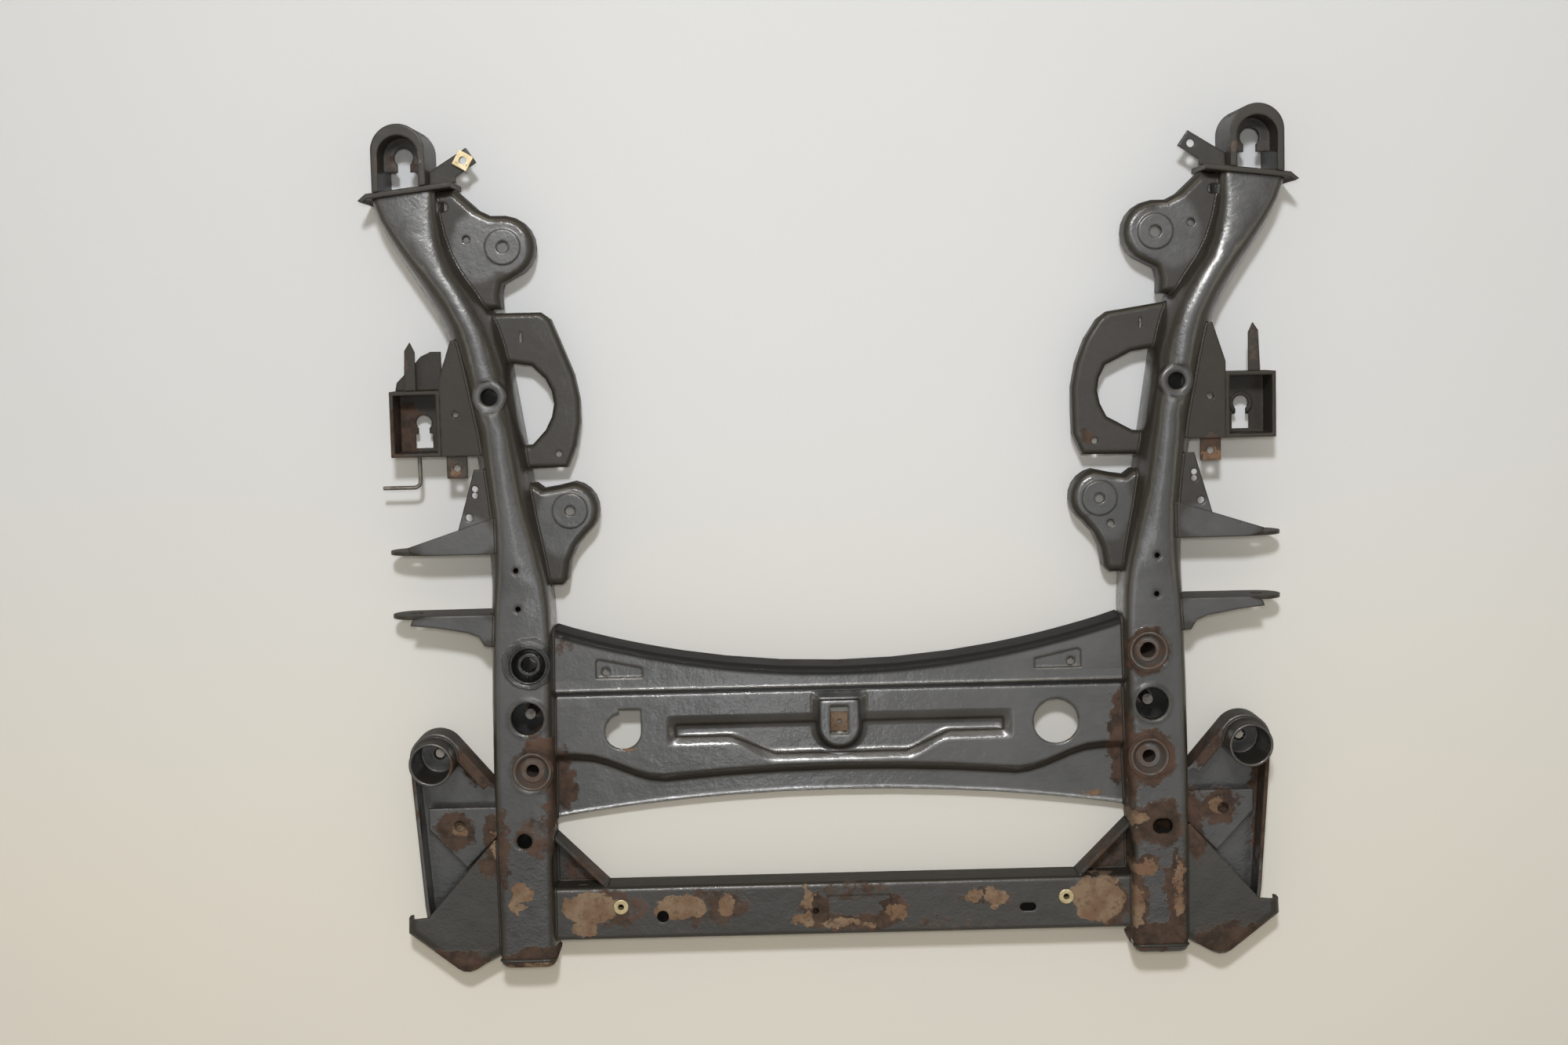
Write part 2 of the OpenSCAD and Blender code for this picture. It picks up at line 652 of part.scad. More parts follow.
module link(s) {
  x1 = box_in - seat;
  color(paint) on_side(s) difference() {
    translate([0, 0, box_top - plate]) linear_extrude(height = plate) polygon([
      [rail_x(230), box_rear], [x1, box_rear], [x1, box_front + 12], [x1 - 14, box_front + 54],
      [rail_x(352), box_front + 54]]);
    rail_body(200, 390);
    drill(rail_x(box_mid.y) + 40, box_mid.y + 10, 3.5, box_top - 9, box_top + 9);
  }
}

module box_arch() {
  y = box_front + seat;
  color(paint) on_side(-1) translate([0, 0, box_low + 18]) linear_extrude(height = plate) polygon([
    [box_in + 1, y], [box_out - 2, y], [box_out - 4, y + 9], [box_out - 17, y + 22], [box_out - 31, y + 37],
    [box_in + 12, y + 42], [box_in + 1, y + 42]]);
}

module clip(s) {
  x = box_out - 28;
  y = box_front + seat;
  color(paint) on_side(s) translate([0, 0, box_top - 11]) linear_extrude(height = strip) polygon([
    [x, y], [x + 13, y], [x + 11, clip_front - 9], [x + 5, clip_front], [x, clip_front - 11]]);
}

module nut_tab(s) {
  z = box_top - plate - seat - strip;
  x = box_in - 27;
  color(paint) on_side(s) difference() {
    translate([x, box_rear - 24, z]) cube([22, 42, strip]);
    rail_body(180, 300);
    drill(x + 11, box_rear - 13, 4, z - 1, z + strip + 1);
  }
}

module hook_rod() {
  p = [box_out - 27, box_rear - seat];
  color(zinc) on_side(-1) translate([p.x, p.y, box_top - 22]) {
    rotate([90, 0, 0]) cylinder(h = rod_drop - rod_bend, r = rod_r);
    translate([rod_bend, rod_bend - rod_drop, 0]) rotate(180) rotate_extrude(angle = 90)
      translate([rod_bend, 0]) circle(r = rod_r);
    translate([rod_bend, -rod_drop, 0]) rotate([0, 90, 0]) cylinder(h = rod_tail - rod_bend, r = rod_r);
  }
}

// Arm forks and the webs beside them

fork_bolt_x = waist_x + fork_reach;

module web(s) {
  z = fork_top - 2 * plate - seat;
  color(paint) on_side(s) difference() {
    translate([0, 0, z]) linear_extrude(height = plate) polygon([
      [rail_x(140), fork_front_y + plate + seat], [rail_x(140) + 50, fork_front_y + plate + seat],
      [rail_x(140) + 59, fork_front_y + 26], [rail_x(212) + 30, 214], [rail_x(212), 214]]);
    rail_body(100, 260);
    drill(rail_x(190) + 33, 186, 3.4, z - 1, z + plate + 1);
    drill(rail_x(190) + 33, 193, 3.4, z - 1, z + plate + 1);
    drill(rail_x(160) + 44, 162, 4, z - 1, z + plate + 1);
  }
}

module fork_ear(y) {
  x0 = rail_x(y);
  translate([0, y, 0]) rotate([90, 0, 0]) difference() {
    union() {
      translate([fork_bolt_x, fork_bolt_z, 0]) cylinder(h = plate, r = fork_end_r);
      linear_extrude(height = plate) polygon([
        [x0, 14], [fork_bolt_x, fork_bolt_z - fork_end_r], [fork_bolt_x, fork_bolt_z + fork_end_r],
        [fork_bolt_x - 14, fork_top], [x0, fork_top]]);
    }
    translate([fork_bolt_x, fork_bolt_z, -1]) cylinder(h = plate + 2, r = fork_hole);
  }
}

module fork_front(s) {
  y = fork_front_y;
  color(paint) on_side(s) difference() {
    union() {
      fork_ear(y + plate);
      translate([0, 0, fork_top - plate]) linear_extrude(height = plate) polygon([
        [rail_x(y), y], [fork_bolt_x - 14, y], [fork_bolt_x + 1, y + 4], [fork_bolt_x + 3, y + 9],
        [fork_bolt_x - 52, y + 27], [rail_x(y) + 20, y + 40], [rail_x(y), y + 43]]);
    }
    rail_body(60, 230);
  }
}

module fork_rear(s) {
  y = fork_rear_y;
  color(paint) on_side(s) difference() {
    union() {
      fork_ear(y);
      translate([0, 0, fork_top - plate]) linear_extrude(height = plate) polygon([
        [rail_x(y), y - 39], [rail_x(y) + 40, y - 34], [rail_x(y) + 46, y - 24], [fork_bolt_x - 59, y - 19],
        [fork_bolt_x - 25, y - 13], [fork_bolt_x + 3, y - 10], [fork_bolt_x + 1, y - 4],
        [fork_bolt_x - 14, y], [rail_x(y), y]]);
    }
    rail_body(-50, 115);
  }
}

// Crossmember

cm_half = waist_x - half_w;
cm_edge = 7;
cm_bend = 96;
cm_marks = [0, 0.2, 0.4, 0.55, 0.63, 0.68, 0.73, 0.78, 0.83, 0.88, 0.94, 1.15];

// Lines of the crossmember at x: its front edge, its rear edge and the step between panel and lip.
function cm_front_at(x) = cm_front + cm_front_rise * pow(x / cm_half, 2);
function cm_rear_at(x) = cm_rear - cm_rear_drop * pow(x / cm_half, 2);
function cm_bent(x) = max(0, min(1, (abs(x) - cm_half + 20 + cm_bend) / cm_bend));
function cm_fall_at(x) = let (a = cm_half - 20 - cm_bend, e = min(abs(x), a), b = 1 - cos(180 * cm_bent(x)))
  cm_fall - cm_rear_drop * pow(e / cm_half, 2) + (cm_swing + 9) * b / 2;

// Outer line of the pressed skin at x, from the foot of the front wall to the foot of the rear wall.
function cm_section(x) = let (f = cm_front_at(x), r = cm_rear_at(x), k = cm_fall_at(x), e = cm_edge) concat(
  [[f, apron_z]], arc([f - e, ridge_z - e], e, 0, 90, 3),
  [[cm_step + 3, ridge_z], [cm_step, ridge_z - 1.6], [cm_step - 6, panel_z + 1.6], [cm_step - 9, panel_z]],
  [[k + 3, panel_z], [k, panel_z - 1.6], [k - 9, lip_z + 1.6], [k - 12, lip_z]],
  arc([r + e, lip_z - e], e, 90, 180, 3), [[r, lip_z - 18]]);
function cm_ring(x) = let (p = cm_section(x), q = beside(p, sheet)) concat(
  [for (v = p) [x, v.x, v.y]], [for (i = [len(q) - 1:-1:0]) [x, q[i].x, q[i].y]]);

module cm_skin() {
  n = len(cm_marks) - 1;
  marks = concat([for (i = [n:-1:1]) cm_marks[i] * cm_half], [for (m = cm_marks) -m * cm_half]);
  rings = [for (x = marks) cm_ring(x)];
  intersection() {
    sweep(rings, strip_face(len(rings[0]), 0, len(rings[0]) - 1));
    translate([0, 0, -1]) linear_extrude(height = 110) between_rails();
  }
}

groove_x = cm_hole_x - 55;
groove_y = cm_hole_y - 11;
boss_mid = cm_hole_y + 1;
function groove_line(d) = inset([
  [-groove_x, groove_y + 20], [-groove_x, groove_y], [-groove_x + 62, groove_y], [-groove_x + 112, groove_y - 21],
  [groove_x - 110, groove_y - 21], [groove_x - 62, groove_y], [groove_x, groove_y], [groove_x, groove_y + 20]], d);

function dent_line(d) = inset([
  [cm_hole_x - 27, cm_step + 12], [cm_hole_x + 29, cm_step + 12], [cm_hole_x + 29, cm_step + 35],
  [cm_hole_x + 23, cm_step + 38], [cm_hole_x - 27, cm_step + 27]], d);

module oblong(x0, x1, y, r, z0, z1) {
  drill(x0, y, r, z0, z1);
  drill(x1, y, r, z0, z1);
  translate([x0, y - r, z0]) cube([x1 - x0, 2 * r, z1 - z0]);
}

module boss_shape(d, z0, z1) {
  drill(0, boss_mid, 22 - d, z0, z1);
  translate([-22 + d, boss_mid, z0]) cube([44 - 2 * d, 29 - d, z1 - z0]);
}

module crossmember() {
  dent = ridge_z - 3.5;
  floor_z = panel_z - groove_d;
  color(paint) difference() {
    union() {
      cm_skin();
      for (s = [-1, 1]) on_side(s) translate([0, 0, dent - sheet]) linear_extrude(height = sheet + 3)
        polygon(dent_line(0));
      translate([0, 0, floor_z - sheet]) linear_extrude(height = groove_d + sheet - 0.5) polygon(groove_line(0));
      boss_shape(0, panel_z - groove_d - sheet, panel_z + cm_boss_h);
    }
    difference() {
      translate([0, 0, floor_z]) linear_extrude(height = 60) polygon(groove_line(sheet));
      boss_shape(-3, 0, 120);
    }
    boss_shape(sheet, 0, panel_z + cm_boss_h - sheet);
    translate([-10, boss_mid - 9, 0]) cube([20, 32, 120]);
    for (s = [-1, 1]) on_side(s) {
      translate([0, 0, dent]) linear_extrude(height = 20) polygon(dent_line(2.5));
      drill(cm_hole_x + 16, cm_step + 21, 4.5, 30, ridge_z + 9);
    }
    drill(-cm_hole_x, cm_hole_y, cm_hole_left, 0, 120);
    translate([-cm_hole_x - 4, cm_hole_y, 0]) cube([cm_hole_left + 4, cm_hole_left + 4, 120]);
    drill(cm_hole_x, cm_hole_y, cm_hole_right, 0, 120);
  }
}

// Crossbar

module bar_section(d) {
  w = bar_front - bar_rear;
  r = bar_edge - d;
  a = bar_edge;
  for (y = [a, w - a], z = [a, bar_d - a]) translate([y, z]) circle(r = r);
  translate([d, a]) square([w - 2 * d, bar_d - 2 * a]);
  translate([a, d]) square([w - 2 * a, bar_d - 2 * d]);
}

module crossbar() {
  y = bar_front - insert_back;
  color(paint) difference() {
    translate([-rear_x, bar_rear, bar_z - bar_d]) rotate([90, 0, 90]) linear_extrude(height = rear_span)
      difference() {
        bar_section(0);
        bar_section(sheet);
      }
    for (s = [-1, 1]) on_side(s) {
      rail_body(-400, -100);
      drill(insert_x, y, insert_r - 3 + seat, bar_z - 9, bar_z + 9);
    }
    drill(-insert_x + 46, bar_front - 34, 6.5, bar_z - 9, bar_z + 9);
    oblong(insert_x - 47, insert_x - 38, bar_front - 33, 4.5, bar_z - 9, bar_z + 9);
    translate([-18, bar_front - 49, bar_z - 1.2]) cube([70, 34, 9]);
    drill(-31, bar_front - 32, 3.5, bar_z - 9, bar_z + 9);
  }
}

module bar_inserts() {
  z = bar_z + seat;
  r = insert_r;
  b = insert_bore;
  color(zinc) for (s = [-1, 1]) on_side(s) translate([insert_x, bar_front - insert_back, 0]) rotate_extrude()
    polygon([[b, z - 12], [r - 3, z - 12], [r - 3, z], [r, z], [r, z + 1.2], [r - 1, z + 2], [b, z + 2]]);
}

module bar_gusset(s) {
  y0 = bar_front + seat;
  x1 = rear_x;
  x0 = rear_x - half_w - gusset_x;
  z0 = bar_z - bar_d + 7;
  run = x1 - x0;
  color(paint) on_side(s) difference() {
    union() {
      translate([0, 0, z0]) linear_extrude(height = plate) polygon([[x0, y0], [x1, y0], [x1, y0 + run]]);
      translate([0, 0, z0]) linear_extrude(height = bar_d - 14)
        polygon([[x0, y0], [x0 + 1.5 * plate, y0], [x1, y0 + run - 1.5 * plate], [x1, y0 + run]]);
    }
    rail_body(-400, -100);
  }
}

// Corner brackets

tube_x = rear_x + tube_reach;
tube = [tube_x, tube_y];
corner_arc = 1.005 * (tube_r + seat) + plate;
strap_a = tube + corner_arc * [cos(144), sin(144)];
strap_b = [rear_x + half_w + 2, -132];
strap_n = turned(strap_a, strap_b) * strap_w;
corner_line = concat(
  [[rear_x + 12, -304], [tube_x - 33, -328], [tube_x + 14, -292], [tube_x + 17, -270], [tube_x + 22, -200]],
  arc(tube, corner_arc, -2, 144, 14),
  [strap_b, [rear_x + 12, -146]]);

module corner(s) {
  color(paint) on_side(s) difference() {
    union() {
      difference() {
        translate([0, 0, corner_low]) linear_extrude(height = corner_top - corner_low) polygon(corner_line);
        translate([0, 0, corner_low + plate]) linear_extrude(height = 80) polygon(inset(corner_line, plate));
      }
      translate([0, 0, corner_top - plate]) linear_extrude(height = plate)
        polygon([strap_a, strap_b, strap_b + strap_n, strap_a + strap_n]);
    }
    drill(tube_x, tube_y, tube_hole + 1, corner_low - 1, corner_low + plate + 1);
    drill(tube_x, tube_y, tube_r + seat, corner_low + plate, tube_top);
    rail_body(-400, -30);
    cap_body();
  }
}

module corner_sleeve(s) {
  z0 = corner_low + plate + seat;
  r = tube_r - tube_wall;
  color(paint) on_side(s) translate([tube_x, tube_y, 0]) rotate_extrude() polygon([
    [tube_hole, z0], [tube_r, z0], [tube_r, tube_top - 1], [tube_r - 1, tube_top], [r + 1, tube_top],
    [r, tube_top - 1], [r, z0 + plate], [tube_hole, z0 + plate]]);
}

module cover(s) {
  z = corner_top + seat;
  line = concat(
    [[rear_x + 12, -318], [rear_x + 49, -337]], arc([tube_x - 27, -328], 18, 240, 310, 3),
    [[tube_x + 38, -300], [tube_x + 34, -200], [rear_x + 12, -140]]);
  open_side = [[tube_x + 75, -287], [tube_x + 14, -281], [rear_x + half_w + 1, -196], [rear_x - 30, -196],
    [rear_x - 30, -100], [tube_x + 75, -100]];
  color(paint) on_side(s) difference() {
    pressed(line, z + plate - cover_lip, z + plate, cover_edge, plate);
    linear_extrude(height = 200) polygon(open_side);
    rail_body(-400, -100);
    cap_body();
  }
}

module brace(s) {
  z = corner_low + plate + seat;
  x0 = rear_x + 12;
  x = tube_x;
  line = [[x0, -165], [rear_x + half_w + 2, -198], [x - 28, -232], [x + 13, -187], [x + 13, -163], [x0, -163]];
  color(paint) on_side(s) difference() {
    translate([0, 0, z]) linear_extrude(height = brace_z - z) polygon(line);
    translate([0, 0, z - 1]) linear_extrude(height = brace_z - z + 1 - plate)
      polygon([[x0, -160], [x0, -176], [x - 54, -197], [x - 28, -226], [x + 9, -185], [x + 17, -160]]);
    drill(x - 21, -184, 6, z - 1, brace_z + 1);
    rail_body(-400, -30);
  }
}

rail_upper(-1);  // rail_upper_left
rail_upper(1);  // rail_upper_right
rail_lower(-1);  // rail_lower_left
rail_lower(1);  // rail_lower_right
rail_cap(-1);  // rail_cap_left
rail_cap(1);  // rail_cap_right
body_sleeves_front();
body_sleeves_rear();
rail_studs();
ear(-1);  // ear_left
ear(1);  // ear_right
shelf(-1);  // shelf_left
shelf(1);  // shelf_right
tab(-1);  // tab_left
tab(1);  // tab_right
tab_nut();
front_pad_bracket(-1);  // front_pad_left
front_pad_bracket(1);  // front_pad_right
rear_pad_bracket(-1);  // rear_pad_left
rear_pad_bracket(1);  // rear_pad_right
guard(-1);  // guard_left
guard(1);  // guard_right
box(-1);  // box_left
box(1);  // box_right
link(-1);  // link_left
link(1);  // link_right
box_arch();
clip(-1);  // clip_left
clip(1);  // clip_right
nut_tab(-1);  // nut_tab_left
nut_tab(1);  // nut_tab_right
hook_rod();
web(-1);  // web_left
web(1);  // web_right
fork_front(-1);  // fork_front_left
fork_front(1);  // fork_front_right
fork_rear(-1);  // fork_rear_left
fork_rear(1);  // fork_rear_right
crossmember();
crossbar();
bar_inserts();
bar_gusset(-1);  // bar_gusset_left
bar_gusset(1);  // bar_gusset_right
corner(-1);  // corner_left
corner(1);  // corner_right
cover(-1);  // cover_left
cover(1);  // cover_right
brace(-1);  // brace_left
brace(1);  // brace_right
corner_sleeve(-1);  // corner_sleeve_left
corner_sleeve(1);  // corner_sleeve_right
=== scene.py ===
"""Dresses the subframe: worn satin paint, rust, grease and weld beads on a pale studio floor."""

import json
import math
import random

import bmesh
import bpy
from mathutils import Matrix, Vector
from mathutils.bvhtree import BVHTree


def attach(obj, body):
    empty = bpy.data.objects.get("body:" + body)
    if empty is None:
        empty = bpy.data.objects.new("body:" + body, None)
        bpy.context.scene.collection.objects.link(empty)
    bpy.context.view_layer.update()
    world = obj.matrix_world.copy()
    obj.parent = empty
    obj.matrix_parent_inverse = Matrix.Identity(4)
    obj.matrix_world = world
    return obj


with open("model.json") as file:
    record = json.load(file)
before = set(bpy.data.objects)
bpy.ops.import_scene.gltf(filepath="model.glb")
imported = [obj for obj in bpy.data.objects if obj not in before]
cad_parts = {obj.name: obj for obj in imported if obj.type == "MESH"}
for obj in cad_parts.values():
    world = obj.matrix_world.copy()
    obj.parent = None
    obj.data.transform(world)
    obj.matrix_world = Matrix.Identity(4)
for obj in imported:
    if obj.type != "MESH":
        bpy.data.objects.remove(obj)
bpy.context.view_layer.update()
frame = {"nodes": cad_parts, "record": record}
NODES = frame["nodes"]

# Camera of the photograph, in the part's frame: place and clipping in metres, tilt and roll in degrees.
CAMERA_PLACE = (-0.0557, 0.35434, 2.42213)
CAMERA_TILT = 5.0
CAMERA_ROLL = 1.4
LENS_MM = 50.0
SENSOR_MM = 36.0
CLIP = (0.05, 50.0)

# Edges and shading of the CAD solids, in metres and degrees.
MERGE = 0.00002
FLAT_ANGLE = 0.6
EDGE_ANGLE = 38.0
SMOOTH_ANGLE = 42.0
EDGE_ROUND = 0.0009
EDGE_STEPS = 2

# Weld beads: how near a joint's edge lies to its neighbour and the shortest seam, in metres; the least fold
# in radians and the least upward share of an edge that is welded; the bead's thickness as base, ripple and
# chance, and its share at the ends; its radius, ripple and step in metres, and the number of its sides.
WELD_NEAR = 0.0005
WELD_LEAST = 0.006
WELD_FOLD = 0.6
WELD_UP = 0.2
WELD_HEIGHT = (0.86, 0.24, 0.05)
WELD_END = 0.35
WELD_RADIUS = 0.0019
WELD_RIPPLE = 0.0042
WELD_STEP = 0.0014
WELD_SIDES = 7

# Colours, linear.
PAINT_TOP = (0.0185, 0.0187, 0.0192)
PAINT_PALE = (0.0375, 0.0375, 0.0380)
# Brown of dull paint, also laid on faces turned to the side as painted shade.
PAINT_DULL_AND_SIDE_SHADE = (0.0222, 0.0186, 0.0135)
DUST = (0.15, 0.125, 0.095)
BARE = (0.17, 0.130, 0.090)
RUST_DARK = (0.036, 0.024, 0.018)
RUST_BROWN = (0.080, 0.050, 0.036)
RUST_RED = (0.098, 0.057, 0.042)
RUST_ORANGE = (0.172, 0.104, 0.064)
RUST_TAN = (0.230, 0.164, 0.110)
# Black of wet grease; also the painted shade along the crossmember's front bend.
GREASE_AND_SHADE_BLACK = (0.006, 0.006, 0.006)
ZINC_DULL = (0.36, 0.29, 0.15)
ZINC_BLOOM = (0.50, 0.43, 0.28)
SLEEVE_STEEL = (0.075, 0.074, 0.073)
ROD_STEEL = (0.13, 0.125, 0.11)
FLOOR_FAR = (0.72, 0.735, 0.765)
FLOOR_NEAR = (0.78, 0.755, 0.70)
FLOOR_GREY = (0.70, 0.70, 0.70)

# Roughness of the finishes, the paint's clear coat and the specular level of clean and of grimy paint.
ROUGH_CLEAN = (0.27, 0.40)
ROUGH_WORN = 0.46
ROUGH_GRIMY = 0.80
ROUGH_ZINC = 0.40
ROUGH_STEEL = 0.34
ROUGH_WET_PAINT = 0.12
ROUGH_WET_STEEL = 0.10
ROUGH_FLOOR = 0.9
COAT = 0.55
COAT_ROUGH = 0.11
SPECULAR = (0.5, 0.2)

# Depths and reaches in metres: waves and grain of the surface, worn edges, dusty corners, the wobble of
# spots, and the radius to which shading rounds the edges.
WAVE_DEEP = 0.0008
GRAIN_DEEP = 0.0006
ZINC_DEEP = 0.0003
STEEL_DEEP = 0.0005
EDGE_WEAR = 0.0018
DUST_REACH = 0.018
RUST_WOBBLE = 0.036
TAN_WOBBLE = 0.032
STAIN_WOBBLE = 0.012
SOFT_EDGE = 0.0032
SOFT_RAIL = 0.007
SOFT_CROSS = 0.0045

# The crossmember's pressed lines, in metres: groove, boss, step, rear lip and front bend, with the width
# over which each fades, and how strong its lines are: grime along the step, grime and painted shade along the
# front bend.
PANEL_Z = 0.0500
PANEL_FADE = (0.0006, 0.0016)
GROOVE_X = 0.184
GROOVE_Y = (-0.072, -0.091, -0.111)
GROOVE_TURN = (0.122, 0.073)
GROOVE_WALL = 0.009
GROOVE_DEEP = 0.007
GROOVE_CORNER = (0.004, 0.012)
BOSS_Y = -0.079
BOSS_R = 0.022
BOSS_TOP = -0.050
BOSS_CORNER = 0.010
BOSS_WALL = (-0.011, 0.003)
STEP_Y = (-0.020, -0.052)
STEP_FADE = 0.002
STEP_LINE = (0.0040, 0.0022)
LIP_Y = -0.156
LIP_CURVE = -0.25
LIP_FROM = (-0.006, -0.004)
LIP_TO = (0.018, 0.014)
BEND_Y = -0.0157
BEND_CURVE = 0.51
BEND_SHADE_LINE = (0.0085, 0.0035)
LINE_GRIME_AND_SHADE = 0.95

# The rusty plate below the boss's slot: low and high corner, and half its hole's width.
SLOT_PLATE = ((-0.0098, -0.0878, 0.036), (0.0098, -0.0660, 0.038))
PLATE_HOLE = 0.0022

# Rust and stains by place: x, y, half width, half height in metres, and strength. CLEAN is where dull
# paint shines.
RAIL_LEFT_RUST = (
    (-0.325, -0.107, 0.036, 0.036, 1.0), (-0.314, -0.160, 0.014, 0.036, 0.8),
    (-0.332, -0.191, 0.036, 0.030, 0.62), (-0.342, -0.326, 0.040, 0.018, 1.0),
    (-0.304, -0.145, 0.012, 0.095, 0.9), (-0.372, -0.205, 0.010, 0.060, 0.7),
)
RAIL_LEFT_TAN = (
    (-0.352, -0.252, 0.013, 0.014, 1.0), (-0.358, -0.268, 0.012, 0.012, 1.0),
    (-0.340, -0.338, 0.038, 0.010, 0.6),
)
RAIL_RIGHT_RUST = (
    (0.334, 0.000, 0.031, 0.032, 0.9), (0.336, -0.116, 0.036, 0.038, 1.0),
    (0.311, -0.125, 0.017, 0.085, 0.85), (0.345, -0.191, 0.040, 0.034, 0.85),
    (0.343, -0.318, 0.042, 0.020, 1.0), (0.366, -0.268, 0.016, 0.062, 0.95),
    (0.322, -0.280, 0.018, 0.045, 0.9), (0.330, -0.236, 0.022, 0.014, 0.8),
)
RAIL_RIGHT_TAN = (
    (0.308, -0.150, 0.006, 0.040, 0.75), (0.326, -0.118, 0.008, 0.010, 0.6),
    (0.322, -0.186, 0.016, 0.010, 0.7), (0.330, -0.240, 0.020, 0.011, 0.85),
    (0.320, -0.286, 0.013, 0.034, 0.8), (0.368, -0.262, 0.009, 0.046, 0.6),
)
CROSS_RUST = (
    (-0.306, -0.135, 0.014, 0.050, 0.75), (0.309, -0.105, 0.016, 0.075, 0.8),
    (-0.300, 0.020, 0.014, 0.012, 0.5),
)
CROSS_TAN = (
    (-0.262, -0.180, 0.034, 0.008, 0.9), (-0.236, -0.099, 0.013, 0.004, 0.9),
    (0.243, -0.097, 0.014, 0.004, 0.9), (0.280, -0.166, 0.016, 0.006, 0.6),
)
BAR_RUST = (
    (-0.150, -0.277, 0.060, 0.026, 0.6), (-0.031, -0.283, 0.022, 0.026, 0.95),
    (0.291, -0.280, 0.034, 0.032, 0.8), (0.10, -0.300, 0.09, 0.012, 0.4),
    (-0.262, -0.278, 0.060, 0.028, 0.6), (0.010, -0.262, 0.056, 0.010, 0.50),
    (0.020, -0.297, 0.056, 0.012, 0.85), (0.055, -0.284, 0.018, 0.020, 0.9),
    (0.158, -0.272, 0.040, 0.016, 0.6),
)
BAR_TAN = (
    (-0.283, -0.275, 0.037, 0.022, 1.0), (-0.286, -0.300, 0.015, 0.012, 1.0),
    (-0.180, -0.277, 0.034, 0.019, 1.0), (-0.128, -0.276, 0.014, 0.014, 0.95),
    (0.280, -0.277, 0.036, 0.032, 1.0), (0.143, -0.271, 0.014, 0.012, 0.95),
    (0.168, -0.271, 0.016, 0.014, 0.95), (-0.040, -0.272, 0.009, 0.016, 0.8),
    (-0.046, -0.295, 0.020, 0.010, 0.7), (0.058, -0.288, 0.014, 0.013, 0.7),
    (0.006, -0.298, 0.044, 0.006, 0.6),
)
CORNER_RUST = (
    (-0.429, -0.189, 0.028, 0.026, 0.75), (-0.386, -0.206, 0.016, 0.040, 0.9),
    (-0.396, -0.112, 0.040, 0.040, 0.72), (-0.440, -0.335, 0.062, 0.022, 0.75),
    (-0.478, -0.190, 0.012, 0.110, 0.75), (0.420, -0.181, 0.028, 0.026, 0.75),
    (0.433, -0.324, 0.060, 0.022, 0.75), (0.393, -0.102, 0.034, 0.040, 0.75),
    (0.468, -0.190, 0.012, 0.100, 0.75), (0.392, -0.200, 0.016, 0.050, 0.8),
)
CORNER_TAN = (
    (-0.424, -0.188, 0.010, 0.010, 0.85), (-0.384, -0.205, 0.006, 0.018, 0.7),
    (0.417, -0.180, 0.010, 0.010, 0.8),
)
BOX_RUST = (
    (-0.466, 0.258, 0.020, 0.040, 0.8), (0.450, 0.262, 0.010, 0.012, 0.5),
    (0.409, 0.212, 0.020, 0.026, 0.9), (-0.410, 0.215, 0.020, 0.018, 0.5),
    (-0.465, 0.335, 0.010, 0.026, 0.55), (0.453, 0.333, 0.012, 0.028, 0.45),
)
BOX_TAN = (
    (0.411, 0.206, 0.014, 0.016, 0.95), (-0.408, 0.213, 0.007, 0.007, 0.7),
)
SLEEVE_GREASE = ((-0.337, 0.002, 0.036, 0.036, 1.0),)
SLOT_TAN = ((0.0, -0.079, 0.03, 0.03, 1.0),)
CLEAN = (
    (-0.352, 0.452, 0.034, 0.032, 0.9), (-0.380, 0.453, 0.034, 0.048, 0.8),
    (0.348, 0.450, 0.034, 0.032, 0.9), (0.374, 0.452, 0.034, 0.048, 0.8),
    (-0.288, 0.165, 0.032, 0.030, 0.9), (-0.300, 0.156, 0.030, 0.050, 0.8),
    (0.287, 0.169, 0.032, 0.030, 0.9), (0.299, 0.160, 0.030, 0.050, 0.8),
    (-0.412, 0.141, 0.054, 0.030, 1.0), (-0.415, 0.041, 0.058, 0.022, 1.0),
    (0.418, 0.140, 0.054, 0.030, 1.0), (0.418, 0.043, 0.058, 0.024, 1.0),
)
INNER_RUST = (
    (0.276, 0.230, 0.010, 0.010, 0.9), (-0.282, -0.235, 0.040, 0.034, 0.62),
    (0.289, -0.230, 0.038, 0.034, 0.62), (-0.459, 0.545, 0.034, 0.012, 0.5),
    (0.451, 0.540, 0.034, 0.012, 0.5),
)

# Lamps: name, place, aim, width, height, watts, colour, and whether matt or glossy light sees it.
LAMPS = (
    ("key", (-0.10, 1.30, 2.80), (0.0, 0.1, 0.0), 0.22, 0.22, 44.0, (0.97, 0.985, 1.0), "matt"),
    ("flash", (-0.05, 0.44, 2.55), (0.0, 0.1, 0.0), 0.14, 0.14, 14.0, (1.0, 0.97, 0.90), "matt"),
    ("left", (-1.9, 0.15, 1.7), (0.0, 0.1, 0.0), 1.6, 0.22, 5.0, (1.0, 0.92, 0.76), "gloss"),
    ("right", (1.9, 0.15, 1.7), (0.0, 0.1, 0.0), 1.6, 0.22, 5.0, (1.0, 0.92, 0.76), "gloss"),
    ("shine", (-0.15, 1.30, 2.45), (0.0, 0.0, 0.0), 1.30, 0.45, 40.0, (1.0, 0.99, 0.97), "gloss"),
    ("spark", (-0.25, 1.45, 2.70), (0.0, 0.0, 0.0), 0.16, 0.16, 32.0, (1.0, 1.0, 1.0), "gloss"),
    ("high", (0.0, 2.40, 1.30), (0.0, 0.0, 0.0), 2.6, 0.50, 22.0, (1.0, 0.84, 0.56), "gloss"),
    ("dome", (0.0, 0.3, 3.60), (0.0, 0.3, 0.0), 4.0, 3.4, 36.0, (0.89, 0.93, 1.0), "gloss"),
    ("line", (-0.12, 0.40, 3.20), (-0.12, 0.40, 0.0), 0.30, 2.4, 10.0, (0.97, 0.99, 1.0), "gloss"),
)

